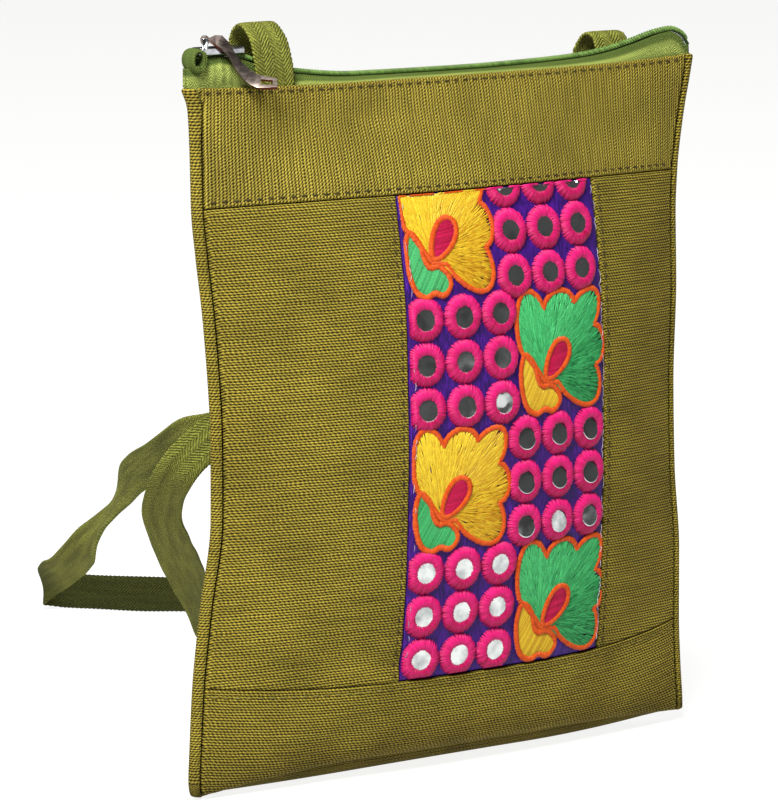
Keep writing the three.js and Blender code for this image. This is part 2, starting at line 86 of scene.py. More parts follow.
# Level sections of the bag from the seam under the base up to the mouth, as in the solids but for the front
# edge of the mouth, which stands a little higher
SECTIONS = table(
    "girth frontHeight frontDepth backHeight backDepth leftHeight rightHeight left right edge",
    [
        [0, 5, 0, 5, 0, 0.5, 3.4, 103.2, 100.2, 0.3],
        [1, 6.6, 8.5, 0, 5, 1.4, 4.4, 106.4, 101.9, 2.0],
        [2, 10.5, 13, 0, 23.5, 6.2, 8.4, 107.2, 101.8, 2.4],
        [3, 20, 16.4, 13, 25.4, 19.2, 20.5, 106.4, 101.0, 2.4],
        [4, 33.5, 18.9, 33.5, 25.8, 37.7, 37.7, 105.0, 100.4, 2.4],
        [5, 60, 22.4, 60, 26, 63, 63, 101.6, 100.6, 2.4],
        [6, 92, 25.2, 92, 26.2, 93, 93, 96.6, 98.6, 2.4],
        [7, 122, 25.8, 122, 26, 122, 122, 96.2, 98.2, 2.4],
        [8, 158, 24.3, 158, 24.2, 158, 158, 98.2, 99.6, 2.4],
        [9, 182, 20.5, 182, 20, 181.5, 181.5, 100.8, 99.4, 2.4],
        [10, 198.4, 16.6, 198.4, 16, 197.4, 197.4, 102.2, 100.2, 2.4],
        [11, 216, 11.8, 216, 11.6, 216.5, 216.5, 102.4, 103.0, 2.4],
        [12, 228, 9, 228, 9, 230, 230, 102.8, 105.8, 3.0],
        [13, 236.2, 7.5, 234.6, 7.5, 237.4, 237.4, 105.3, 107.2, 3.4],
    ],
)
BASE_GIRTH, BOTTOM_SEAM_GIRTH, BAND_SEAM_GIRTH, MOUTH_GIRTH = 0, 4, 10, 13

# Dents and creases of the front: middle, half length, half width, slope and depth
FOLDS = table(
    "x z length width slope depth",
    [
        [-68, 42, 24, 4.5, -4, 1.7],
        [-56, 13, 12, 7, 18, 2.0],
        [-94, 118, 7, 42, 0, 1.0],
        [88, 44, 16, 5, 24, 1.2],
        [-38, 226, 20, 9, 0, 0.9],
        [-37, 40, 9, 3.2, 6, 0.9],
        [-78, 30, 16, 3.0, 8, 0.5],
        [-84, 60, 3.0, 18, 10, 0.5],
        [78, 176, 4.0, 16, -12, 0.5],
        [-40, 224, 18, 5, 4, 0.8],
        [-66, 34.5, 26, 2.0, -2, 0.7],
    ],
)

# Slight waves of the stuffed cloth: depth, then the lengths in X and Z that set each wave's pitch
FRONT_WAVES = [(0.16, 8.5, 29), (0.14, -21, 7.1)]
BACK_WAVES = [(0.8, 19, 26)]

# Side seams of the embroidered panel in X, at its foot and at its top
PANEL_LEFT = (-33, -31)
PANEL_RIGHT = (53.4, 53.4)
PANEL_MARGIN = 0.5  # the embroidery keeps this far inside the panel's borders

# Mirrors in blocks of three by three: the place of a block's upper left mirror in X and Z, and how far
# the block's mirrors lean back to face up
MIRROR_PITCH = 15.16
MIRROR_RADIUS = 4.2
MIRRORS_ACROSS = 3
MIRROR_UNEVEN = 0.03  # how far a single mirror leans its own way
MIRROR_BLOCKS = {
    "upper_right": (12.8, 198.9, 0.02),
    "upper_left": (-25.3, 156.8, 0.07),
    "lower_right": (14.7, 113.4, 0.19),
    "lower_left": (-25.6, 70.8, -0.01),
}

# The zip along the mouth
ZIP_LINE = table(
    "x height",
    [
        [-101.5, 244.6],
        [-98.5, 247.6],
        [-92, 248.2],
        [-84, 247.2],
        [-72, 243.4],
        [-60, 240.6],
        [-37, 238.4],
        [10, 238.0],
        [36, 238.4],
        [56, 239.2],
        [67, 240.4],
        [79, 242.8],
        [91, 245.7],
        [97.5, 246.4],
        [102.5, 244.6],
        [105.4, 241.2],
    ],
)
TAPE_ENDS = (-104, 105)
TAPE_HELD = -101.6  # below the mouth the tape's left end is drawn in to here
TAPE_FLARE = 0.8  # share of its reach past there that it has where it leaves the mouth
PUFF = {"depth": 1.6, "middle": -92, "half": 7}  # how the front tape bulges under the puller
PUCKER = {"depth": 0.25, "turn": 1.9}  # uneven pleats of that bulge
TAPE_TUCK_GIRTH = 12.2
TAPE_CREST = 0.85  # half of the distance between the tapes at the coil
COIL_HALF_WIDTH = 1.7
COIL_HALF_HEIGHT = 1.2
COIL_MARGIN = 0.6  # the teeth start and stop this far from the ends of the zip
TOOTH_PITCH = 1.15
TOOTH_LEAN = 0.9
TOOTH_RADIUS = 0.46
TOOTH_ROOT = 0.15  # distance of a tooth's inner end from the zip's line
TOOTH_REACH = COIL_HALF_WIDTH - 0.45
TOOTH_TOP = 0.62 * COIL_HALF_HEIGHT
TOOTH_DROP = 1.0  # how far it curves down to its outer end
TOOTH_TAPER = 0.2  # share of its length over which each end narrows
TOOTH_TIP = 0.45  # share of its radius that is left there
TOOTH_STEPS = 6
COIL_SIDES = 6  # points round a tooth and round the core
CORE_STEPS = 160
CORE_RADII = (0.72 * COIL_HALF_WIDTH, 0.55 * COIL_HALF_HEIGHT)
CORE_DROP = 0.25
CORE_TINT = 0.1
CURL_CENTRE = (-100.9, 246.7)  # the rolled-up left end of the tape: its middle in X and Z
CURL_RADII = (3.5, 4.7)  # across and up
CURL_FRONT, CURL_BACK = -4.4, 2.6
CURL_START = -35  # angle of its outer end, in degrees
CURL_TURNS = 1.45
CURL_STEPS, CURL_ROWS = 60, 10  # points along it and from front to back
CURL_NECK = 0.14  # share of its radius that it loses at its front and back
CURL_TIGHTENS = 0.3  # share of its radius that it loses towards its inner end

# The strap's route and the direction of its width, as in the solids
STRAP_WIDTH = 14
STRAP_THICKNESS = 1.5
STRAP_ROUTE = table(
    "x y z acrossX acrossY acrossZ",
    [
        [-70.5, -3.35, 231, -1, 0.0575, 0],
        [-70.5, -3.05, 237.5, -1, 0.0575, 0],
        [-72, -3.8, 245, -1, 0.08, 0],
        [-73.2, -2.6, 252.4, -1, 0.05, 0],
        [-73.4, 3.4, 256.8, -1, 0, 0],
        [-72.6, 10, 253, -1, -0.05, 0],
        [-72, 12.6, 244, -1, -0.05, 0],
        [-72, 12.6, 225, -1, -0.05, 0],
        [-62, 22, 165, -1, 0, 0],
        [-58, 31, 130, -0.8, 0.3, 0.5],
        [-77, 47, 105, -0.5, 0.48, 0.72],
        [-66.2, 78, 84.3, -0.8, 0.59, 0.15],
        [-46.7, 104, 67.2, -0.82, 0.56, -0.07],
        [-22.2, 134, 49.9, -0.75, 0.44, -0.48],
        [5.2, 168, 31.2, -0.49, 0.19, -0.85],
        [29, 202, 14.6, -0.26, 0, -0.96],
        [47, 226, 7.8, 0, 0, -1],
        [82, 252, 7.2, 0, 0, -1],
        [89, 260, 7.2, 0, 0, -1],
        [83, 268, 7.2, 0, 0, -1],
        [58, 291, 7.2, 0, 0, -1],
        [41, 313, 7.2, 0, 0, -1],
        [36.5, 320, 7.4, 0, 0, -1],
        [31.5, 320, 9, 0.1, -0.1, -1],
        [27.5, 309, 14.5, 0.33, -0.39, -0.86],
        [12.7, 268, 28.5, 0.62, -0.54, -0.56],
        [-13.1, 200, 58.4, -0.38, 0.09, -0.93],
        [-37.2, 145, 82.5, 0.22, -0.33, -0.92],
        [-52.8, 98, 98.4, 0.4, -0.45, -0.8],
        [-62.5, 66, 110, 0.28, -0.36, -0.9],
        [-59, 46, 116, 0.1, -0.25, -0.97],
        [-30, 38, 132, 0.25, -0.1, -0.96],
        [8, 34, 170, 0.55, 0, -0.83],
        [48, 25, 214, 0.85, 0, -0.5],
        [70, 17, 230, 1, 0, -0.15],
        [73.6, 14.4, 240.5, 1, 0, 0],
        [74.4, 10.6, 245.4, 1, -0.03, 0],
        [75, 5.6, 244.6, 1, -0.0588, 0],
        [75, 2.9, 237.5, 1, -0.0588, 0],
        [75, 3.2, 231, 1, -0.0588, 0],
    ],
)
STRAP_ROOTS = {"front": -70.5, "back": 75}
ROOT_ROOM = STRAP_THICKNESS + 1.6 * GAP  # how far a tape gives way to a root of the strap
ROOT_FADE = 7  # distance to both sides of a root over which it comes back
STRAP_PAINTED_SHADE = 530  # painted shade: the webbing is painted darkest this far along from its front root, where it lies on the floor behind the bag
STRAP_PAINTED_SHADE_REACH = (45, 85)  # and this far to both sides, fading out
STRAP_STEP = 0.6  # distance between two rings of the webbing
STRAP_SIDES = 16  # points round the webbing
STRAP_SQUARE = (0.55, 0.5)  # the smaller, the squarer its section, across and through
EDGE_LOOP = 1.8  # pitch of the loops of weft along the webbing's edges
EDGE_LOOP_DEPTH = 0.022  # share of the width
EDGE_WAVES = [(0.012, 5.3)]  # depth and length of the slower waves of the edges
SLACK_WAVES = [(0.35, 11.0), (0.25, 4.7)]

# The camera, where the photograph was taken from
CAMERA_PLACE = (-984.99, -1364.23, 377.29)
CAMERA_RIGHT = (0.8165, -0.5772, -0.0114)
CAMERA_DOWN = (-0.0949, -0.1146, -0.9889)
CAMERA_LENS = 224.1
CAMERA_SENSOR = 36
CAMERA_FAR = 40


def add_camera():
    data = bpy.data.cameras.new("Camera")
    data.lens = CAMERA_LENS
    data.sensor_width = CAMERA_SENSOR
    data.clip_end = CAMERA_FAR
    right = Vector(CAMERA_RIGHT).normalized()
    back = right.cross(-Vector(CAMERA_DOWN)).normalized()
    camera = add_object("Camera", data)
    camera.matrix_world = Matrix((right, back.cross(right), back)).transposed().to_4x4()
    camera.location = Vector(CAMERA_PLACE) * MM
    bpy.context.scene.camera = camera


# Soft studio light: place, what it points at, width, power and colour
LIGHTS = {
    "key": ((-1.17, -0.91, 1.88), (0, 0, 0.12), 0.9, 118, (0.96, 1.0, 0.94)),
    "overhead": ((0.1, 1.2, 2.8), (0.1, 1.2, 0), 4.0, 40, (1.0, 0.99, 0.97)),
}
WORLD_GREY = 0.035
FLOOR_SIZE = 14
FLOOR_DROP = 0.2  # keeps the floor just clear of the base


def add_lights():
    for name, (place, target, width, power, colour) in LIGHTS.items():
        data = bpy.data.lights.new(name, "AREA")
        data.size = width
        data.energy = power
        data.color = colour
        light = add_object(name, data)
        light.location = place
        light.rotation_euler = (Vector(target) - Vector(place)).to_track_quat("-Z", "Y").to_euler()
    world = bpy.data.worlds.new("studio")
    world.use_nodes = True
    world.node_tree.nodes["Background"].inputs["Color"].default_value = (WORLD_GREY,) * 3 + (1,)
    bpy.context.scene.world = world
    bpy.context.scene.view_settings.view_transform = "Standard"


# Materials


def linear(code):
    """A colour code as the light that it stands for"""
    values = [int(code[i : i + 2], 16) / 255 for i in (1, 3, 5)]
    light = [v / 12.92 if v <= 0.04045 else ((v + 0.055) / 1.055) ** 2.4 for v in values]
    return (*light, 1.0)


class Shader:
    """Short calls for making a material from nodes"""

    def __init__(self, name, **sockets):
        self.material = bpy.data.materials.new(name)
        self.material.use_nodes = True
        self.tree = self.material.node_tree
        self.surface = self.tree.nodes["Principled BSDF"]
        for key, value in sockets.items():
            self.give(key.replace("_", " "), value)

    def give(self, name, value):
        self.put(self.surface.inputs[name], value)

    def put(self, socket, value):
        if isinstance(value, bpy.types.NodeSocket):
            self.tree.links.new(value, socket)
        else:
            socket.default_value = value

    def node(self, kind, inputs, output=0, **settings):
        node = self.tree.nodes.new(kind)
        for key, value in settings.items():
            setattr(node, key, value)
        for key, value in inputs.items():
            self.put(node.inputs[key], value)
        return node.outputs[output]

    def math(self, operation, first, second=0.0):
        return self.node("ShaderNodeMath", {0: first, 1: second}, operation=operation)

    def product(self, *factors):
        total = factors[0]
        for factor in factors[1:]:
            total = self.math("MULTIPLY", total, factor)
        return total

    def mix(self, share, first, second, blend="MIX"):
        inputs = {0: share, 6: first, 7: second}
        return self.node("ShaderNodeMix", inputs, 2, data_type="RGBA", blend_type=blend)

    def range(self, value, low, high, to_low, to_high):
        inputs = {0: value, 1: low, 2: high, 3: to_low, 4: to_high}
        return self.node("ShaderNodeMapRange", inputs)

    def cloth_place(self):
        return self.node("ShaderNodeUVMap", {}, uv_map="Cloth")

    def object_place(self):
        return self.node("ShaderNodeTexCoord", {}, 3)

    def scaled(self, place, x, y, turn=0.0):
        inputs = {"Vector": place, "Rotation": (0, 0, turn), "Scale": (x, y, 1)}
        return self.node("ShaderNodeMapping", inputs)

    def noise(self, place, scale, detail=2.0, output=0):
        return self.node("ShaderNodeTexNoise", {"Vector": place, "Scale": scale, "Detail": detail}, output)

    def parts(self, vector):
        return tuple(self.node("ShaderNodeSeparateXYZ", {0: vector}).node.outputs)

    def bump(self, height, distance, strength=1.0):
        inputs = {"Height": height, "Distance": distance * MM, "Strength": strength}
        self.give("Normal", self.node("ShaderNodeBump", inputs))

    def paint(self, colour):
        self.give("Base Color", colour)


def woven(name, light, dark, rib, bead, slant, lead, turned=False):
    """Plain woven jute: slubby ribs crossed by beads of yarn, dark between them and unevenly dyed, with
    painted shade low on the bag
    """
    cloth = Shader(name, Roughness=0.9, Specular_IOR_Level=0.15)
    place = cloth.scaled(cloth.cloth_place(), 1, 1, math.pi / 2 if turned else 0)
    drift = cloth.noise(cloth.scaled(place, 0.12, 0.5), 1.0, 2.0, 1)
    sway = {0: drift, 1: (2.4, 0.55, 0), 2: place}
    along, across, _ = cloth.parts(cloth.node("ShaderNodeVectorMath", sway, operation="MULTIPLY_ADD"))
    slanted = cloth.math("ADD", along, cloth.math("MULTIPLY", across, slant))
    ribs = cloth.math("MULTIPLY", cloth.math("PINGPONG", across, rib / 2), 2 * lead / rib)
    beads = cloth.math("MULTIPLY", cloth.math("PINGPONG", slanted, bead / 2), 2 * (1 - lead) / bead)
    yarn = cloth.math("ADD", ribs, beads)
    streaks = cloth.range(cloth.noise(cloth.scaled(place, 0.05, 0.8), 1.0, 3.0), 0.3, 0.7, 0.8, 1.16)
    patches = cloth.range(cloth.noise(place, 0.04, 2.0), 0.3, 0.7, 0.8, 1.18)
    fibres = cloth.noise(cloth.scaled(place, 1.3, 4.0), 1.0, 3.0)
    # painted shade: the cloth is painted darker towards the floor, standing in for the shade under the bag
    height = cloth.parts(cloth.object_place())[2]
    painted_shade = cloth.range(height, 0, PAINTED_SHADE_HEIGHT * MM, PAINTED_SHADE_SHARE, 1)
    tones = [cloth.range(yarn, 0.28, 0.95, 0, 1), cloth.range(fibres, 0.25, 0.75, 0.5, 1.5)]
    share = cloth.product(*tones, cloth.math("MULTIPLY", streaks, patches), painted_shade)
    cloth.paint(cloth.mix(share, linear(dark), linear(light)))
    cloth.bump(cloth.math("ADD", cloth.math("MULTIPLY", fibres, 0.5), yarn), 0.35)
    return cloth.material


def herringbone(name, light, dark, lane, pitch, depth, along_first=False, edge=0.0, painted_shade_at=None):
    """Webbing or tape: slanting threads that turn back at each lane, with a dark edge or a length darkened
    with painted shade
    """
    web = Shader(name, Roughness=0.9, Specular_IOR_Level=0.15)
    place = web.cloth_place()
    first, second, _ = web.parts(place)
    along, across = (first, second) if along_first else (second, first)
    zigzag = web.math("PINGPONG", across, lane)
    wander = web.math("MULTIPLY", web.noise(place, 0.6, 2.0), 0.9)
    phase = web.math("DIVIDE", web.math("ADD", web.math("ADD", along, zigzag), wander), pitch)
    ridge = web.math("MULTIPLY", web.math("PINGPONG", phase, 0.5), 2.0)
    fibres = web.noise(web.scaled(place, 2.6, 2.6 if along_first else 0.7), 1.0, 3.0)
    coarse = web.scaled(place, 0.03, 0.5) if along_first else web.scaled(place, 0.5, 0.03)
    patches = web.range(web.noise(coarse, 1.0, 3.0), 0.35, 0.65, 0.72, 1.2)
    tones = [web.range(ridge, 0.1, 0.7, 0.3, 0.8), web.range(fibres, 0.25, 0.75, 0.4, 1.6), patches]
    if edge:
        tones.append(web.range(across, edge - 0.5, edge + 0.5, 0.25, 1))
    # painted shade: the webbing is painted darker round one place along its length
    if painted_shade_at:
        away = web.math("ABSOLUTE", web.math("SUBTRACT", along, painted_shade_at))
        tones.append(web.range(away, *STRAP_PAINTED_SHADE_REACH, 0.15, 1))
    web.paint(web.mix(web.product(*tones), linear(dark), linear(light)))
    web.bump(web.math("ADD", ridge, web.math("MULTIPLY", fibres, 0.7)), depth)
    return web.material


def thread(name, light, dark, roughness=0.5):
    """Twisted thread, whose tint changes from stitch to stitch"""
    silk = Shader(name, Roughness=roughness, Specular_IOR_Level=0.25)
    tint = silk.node("ShaderNodeAttribute", {}, 2, attribute_name="tint")
    fibres = silk.noise(silk.object_place(), 2600.0, 2.0)
    share = silk.math("ADD", tint, silk.range(fibres, 0.3, 0.7, -0.22, 0.22))
    silk.paint(silk.mix(silk.range(share, 0, 1, 0, 1), linear(dark), linear(light)))
    silk.bump(fibres, 0.1, 0.6)
    return silk.material


def satin_ground(name, light, dark, gaps):
    """Ground of the embroidered panel: close rows of short upright stitches"""
    ground = Shader(name, Roughness=0.5, Specular_IOR_Level=0.25)
    place = ground.scaled(ground.cloth_place(), 1, 1, math.pi / 2)
    rows = {"Vector": place, "Color1": linear(light), "Color2": linear(dark), "Mortar": linear(gaps)}
    rows.update({"Scale": 1.0, "Mortar Size": 0.05, "Mortar Smooth": 1.0})
    rows.update({"Brick Width": 2.6, "Row Height": 0.42})
    colour = ground.node("ShaderNodeTexBrick", rows)
    patches = ground.range(ground.noise(place, 0.25, 2.0), 0.3, 0.7, 0.7, 1.3)
    tone = ground.node("ShaderNodeCombineColor", {0: patches, 1: patches, 2: patches})
    ground.paint(ground.mix(1.0, colour, tone, "MULTIPLY"))
    ground.bump(ground.math("SUBTRACT", 1.0, colour.node.outputs["Fac"]), 0.2)
    return ground.material


def metal(name, bright, dull, under, roughness, grain):
    """Plated metal with fine scratches and dull patches, and painted shade: a darker tone on the faces that
    look down
    """
    plate = Shader(name, Metallic=1.0)
    place = plate.object_place()
    patches = plate.noise(place, 420.0, 3.0)
    scratches = plate.noise(plate.scaled(place, 300, 3000), 1.0, 2.0)
    upward = plate.parts(plate.node("ShaderNodeTexCoord", {}, 1))[2]
    top = plate.mix(plate.range(patches, 0.35, 0.7, 0, 1), linear(bright), linear(dull))
    # painted shade: faces that look down take the darker under colour
    plate.paint(plate.mix(plate.range(upward, -0.35, 0.0, 1, 0), top, linear(under)))
    plate.give("Roughness", plate.range(scratches, 0.3, 0.7, roughness, roughness + 0.16))
    plate.bump(scratches, grain, 0.5)
    return plate.material


def mirror_glass(name):
    """Thin hand-cut silvered glass, slightly wavy and clouded"""
    glass = Shader(name)
    place = glass.object_place()
    clouds = glass.noise(place, 160.0, 3.0)
    glass.paint(glass.mix(glass.range(clouds, 0.4, 0.75, 0, 1), linear("#dfe2e2"), linear("#8f9296")))
    glass.give("Roughness", glass.range(clouds, 0.3, 0.8, 0.03, 0.2))
    glass.give("Metallic", glass.range(clouds, 0.35, 0.7, 0.985, 0.925))
    glass.bump(glass.noise(place, 130.0, 1.0), 0.35, 0.6)
    return glass.material


def floor_paper(name):
    """Pale paper of the studio floor"""
    paper = Shader(name, Roughness=0.9, Emission_Strength=0.9)
    grain = paper.noise(paper.object_place(), 3.0, 2.0)
    paper.paint(paper.mix(grain, linear("#757574"), linear("#7a7a79")))
    paper.give("Emission Color", linear("#fbfbfa"))
    return paper.material


# The bag's surface


def smooth(rows, key, column, at):
    """A smooth curve through a column of a table that never runs past its rows"""
    x, y = rows[key], rows[column]
    span = np.diff(x)
    slope = np.diff(y) / span
    product = slope[:-1] * slope[1:]
    rising = product > 0
    tangent = np.concatenate([slope[:1], np.zeros(len(product)), slope[-1:]])
    tangent[1:-1][rising] = 2 * product[rising] / (slope[:-1] + slope[1:])[rising]
    at = np.asarray(at, float)
    low = np.clip(np.searchsorted(x, at, side="right") - 1, 0, len(span) - 1)
    width = span[low]
    t = np.clip((at - x[low]) / width, 0, 1)
    ease = y[low] + (y[low + 1] - y[low]) * t * t * (3 - 2 * t)
    leave = t * (1 - t) ** 2 * width * tangent[low]
    arrive = t * t * (t - 1) * width * tangent[low + 1]
    return ease + leave + arrive


def hermite(before, start, end, after, t):
    """Points from start to end on a smooth curve that also runs through their neighbours"""
    leave, arrive = (end - before) / 2, (after - start) / 2
    eased = (2 * t**3 - 3 * t**2 + 1) * start + (3 * t**2 - 2 * t**3) * end
    return eased + (t**3 - 2 * t**2 + t) * leave + (t**3 - t**2) * arrive


def unevenness(waves, x, z):
    return sum(depth * np.sin(x / per_x + z / per_z) for depth, per_x, per_z in waves)


def fold_depth(x, z):
    """How far the folds and the slight unevenness of the stuffing press the front in"""
    depth = unevenness(FRONT_WAVES, x, z)
    for fx, fz, length, width, slope, deep in zip(*FOLDS.values()):
        angle = math.radians(slope)
        along = (x - fx) * math.cos(angle) + (z - fz) * math.sin(angle)
        across = (z - fz) * math.cos(angle) - (x - fx) * math.sin(angle)
        depth = depth + deep * np.exp(-((along / length) ** 2) - (across / width) ** 2)
    return depth


def section(column, girth):
    return smooth(SECTIONS, "girth", column, girth)


def edge_half(girth, inset):
    """Half thickness of the fold along a side seam"""
    return np.maximum(section("edge", girth) - inset, THIN_EDGE)


def reach(side, girth, inset=0.0):
    """Half width of the bag up to the fold of a side seam"""
    return section("left" if side < 0 else "right", girth) - inset - edge_half(girth, inset)


def wall(side, x, girth, inset=0.0):
    """Points on the front (side -1) or the back (side 1) of the bag"""
    x, girth, inset = np.broadcast_arrays(*(np.asarray(value, float) for value in (x, girth, inset)))
    face = "front" if side < 0 else "back"
    edge = edge_half(girth, inset)
    half = np.where(x < 0, reach(-1, girth, inset), reach(1, girth, inset))
    corner = np.where(x < 0, section("leftHeight", girth), section("rightHeight", girth))
    share = np.minimum(np.abs(x) / half, 1)
    fullness = 1 - share**LENS_POWER
    turn = np.maximum(0, (share - LEVEL_SHARE) / (1 - LEVEL_SHARE)) ** 2
    height = section(face + "Height", girth) * (1 - turn) + corner * turn
    depth = between(edge, np.maximum(section(face + "Depth", girth) - inset, GAP / 2), fullness)
    dent = fold_depth(x, height) if side < 0 else unevenness(BACK_WAVES, x, height) * turn
    foot = inset * np.maximum(0, 1 - height / FOOT_HEIGHT)
    return stacked(x, side * depth + dent * fullness, height + foot)


def seam_round(side, angle, girth, inset):
    """Points on the fold round a side seam, from the front at 0 to the back at a half turn"""
    half = reach(side, girth, inset)
    edge = edge_half(girth, inset)
    front = wall(-1, side * half, girth, inset)[..., 2]
    back = wall(1, side * half, girth, inset)[..., 2]
    height = between(front, back, (1 - math.cos(angle)) / 2)
    return stacked(side * (half + edge * math.sin(angle)), -edge * math.cos(angle), height)


HALVINGS = 18


def girth_at(x, z):
    """The row position at which the front reaches a height, found by halving"""
    low = np.full(np.shape(z), float(BASE_GIRTH))
    high = np.full(np.shape(z), float(MOUTH_GIRTH))
    for _ in range(HALVINGS):
        middle = (low + high) / 2
        under = wall(-1, x, middle)[..., 2] < z
        low, high = np.where(under, middle, low), np.where(under, high, middle)
    return low


def unit(vectors):
    return vectors / np.maximum(np.linalg.norm(vectors, axis=-1, keepdims=True), 1e-9)


def on_front(x, girth, inset):
    """Points of the front and the directions that it faces there"""
    aside, above = 0.6, 0.03
    across = wall(-1, x + aside, girth, inset) - wall(-1, x - aside, girth, inset)
    upward = wall(-1, x, girth + above, inset) - wall(-1, x, girth - above, inset)
    return wall(-1, x, girth, inset), unit(np.cross(across, upward))


FINE_GIRTH = np.linspace(BASE_GIRTH, MOUTH_GIRTH, 600)


def lengths(points):
    """Distance along a line of points from its start"""
    steps = np.linalg.norm(np.diff(points, axis=0), axis=1)
    return np.concatenate([[0], np.cumsum(steps)])


def resampled(points, travelled, at):
    """A line of points at other distances along it"""
    return stacked(*(np.interp(at, travelled, column) for column in points.T))


FRONT_LENGTH = lengths(wall(-1, 0, FINE_GIRTH))
BACK_LENGTH = lengths(wall(1, 0, FINE_GIRTH))


def length_at(girth):
    return np.interp(girth, FINE_GIRTH, FRONT_LENGTH)


def girth_of(length):
    return np.interp(length, FRONT_LENGTH, FINE_GIRTH)


# Mesh making


def signed_volume(points, faces):
    a, b, c = (points[faces[:, k]] for k in (0, 1, 2))
    d = points[faces[:, -1]]
    return np.einsum("ij,ij->", a, np.cross(b, c)) + np.einsum("ij,ij->", a, np.cross(c, d))


def add_mesh(name, points, faces, material, slot, body="bag", uv=None, tint=None, closed=False):
    """A smooth mesh of quads, with one material; its slot argument is not used"""
    points = np.asarray(points, float).reshape(-1, 3) * MM
    faces = np.asarray(faces, np.int32)
    if closed and signed_volume(points, faces) < 0:
        faces = faces[:, ::-1]
    mesh = bpy.data.meshes.new(name)
    mesh.vertices.add(len(points))
    mesh.vertices.foreach_set("co", points.ravel())
    mesh.loops.add(faces.size)
    mesh.loops.foreach_set("vertex_index", faces.ravel())
    mesh.polygons.add(len(faces))
    mesh.polygons.foreach_set("loop_start", np.arange(0, faces.size, faces.shape[1], dtype=np.int32))
    mesh.polygons.foreach_set("use_smooth", np.ones(len(faces), bool))
    mesh.update(calc_edges=True)
    if uv is not None:
        layer = mesh.uv_layers.new(name="Cloth")
        layer.data.foreach_set("uv", np.asarray(uv, float).reshape(-1, 2)[faces.ravel()].ravel())
    if tint is not None:
        layer = mesh.attributes.new("tint", "FLOAT", "POINT")
        layer.data.foreach_set("value", np.asarray(tint, float).ravel())
    mesh.materials.append(material)
    piece = add_object(name, mesh)
    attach(piece, body)
    return piece


def grid_faces(index):
    """Quads between the neighbours of one or more grids of point numbers"""
    low, high = index[..., :-1, :], index[..., 1:, :]
    return stacked(low[..., :-1], low[..., 1:], high[..., 1:], high[..., :-1]).reshape(-1, 4)


def round_again(index):
    """Rings of point numbers that end where they start"""
    return np.concatenate([index, index[..., :1]], -1)


def sheet_faces(rows, columns):
    """Quads of a closed sheet, whose points are an outer grid followed by an inner one"""
    index = np.arange(2 * rows * columns).reshape(2, rows, columns)
    rim = [index[:, 0, :], index[:, 1:, -1], index[:, -1, -2::-1], index[:, -2:0:-1, 0]]
    rim = np.concatenate(rim, axis=1)
    after = np.roll(rim, -1, axis=1)
    border = stacked(rim[0], rim[1], after[1], after[0])
    return np.concatenate([grid_faces(index[0]), grid_faces(index[1])[:, ::-1], border])


def add_sheet(name, outer, inner, uv, material, slot):
    """A closed sheet of cloth, and the size that it was cut to"""
    rows, columns = outer.shape[:2]
    points = np.stack([outer, inner])
    faces = sheet_faces(rows, columns)
    piece = add_mesh(name, points, faces, material, slot, uv=np.stack([uv, uv]), closed=True)
    width = np.linalg.norm(np.diff(outer, axis=1), axis=2).sum(1).mean() * MM
    length = np.linalg.norm(np.diff(outer, axis=0), axis=2).sum(0).mean() * MM
    return piece, (round(float(width), 4), round(float(length), 4))


def tube_faces(count, steps, sides, closed):
    """Quads of many tubes or open strips, numbered tube by tube and ring by ring"""
    index = np.arange(count * steps * sides).reshape(count, steps, sides)
    return grid_faces(round_again(index) if closed else index)


def merged(parts):
    """Points and faces of several parts as those of one mesh"""
    points = [part.reshape(-1, 3) for part, _ in parts]
    first = np.cumsum([0] + [len(part) for part in points])
    faces = [part + start for (_, part), start in zip(parts, first)]
    return np.concatenate(points), np.concatenate(faces)


FINE_STEPS = np.array([0.0, 0.12, 0.35, 0.7, 1.2])  # rows and columns of points close to a turned edge
FINE_END = 2


def spaced(low, high, step):
    """Even positions with closer ones at both ends, where an edge is turned"""
    inner = np.linspace(low + FINE_END, high - FINE_END, max(int((high - low) / step), 2))
    return np.concatenate([low + FINE_STEPS, inner, high - FINE_STEPS[::-1]])


def rolled(distance, radius=EDGE_ROLL):
    """How far a turned edge drops at a distance from its border"""
    short = 1 - np.clip(distance / radius, 0, 1)
    return radius * (1 - np.sqrt(1 - short**2))


# The strap


ROUTE_STEPS = 40  # positions for each row of the route


def ripple(waves, travelled):
    return sum(depth * np.sin(travelled / length) for depth, length in waves)


def squared(wave, power):
    """A wave from -1 to 1, made squarer"""
    return np.sign(wave) * np.abs(wave) ** power


def route_curve(columns):
    """Points of a smooth curve through columns of the strap's route"""
    points = stacked(*(STRAP_ROUTE[name] for name in columns))
    padded = np.concatenate([2 * points[:1] - points[1:2], points, 2 * points[-1:] - points[-2:-1]])
    at = np.linspace(0, len(points) - 1, len(points) * ROUTE_STEPS)
    low = np.minimum(at.astype(int), len(points) - 2)
    t = (at - low)[:, None]
    return hermite(*(padded[low + k] for k in range(4)), t)


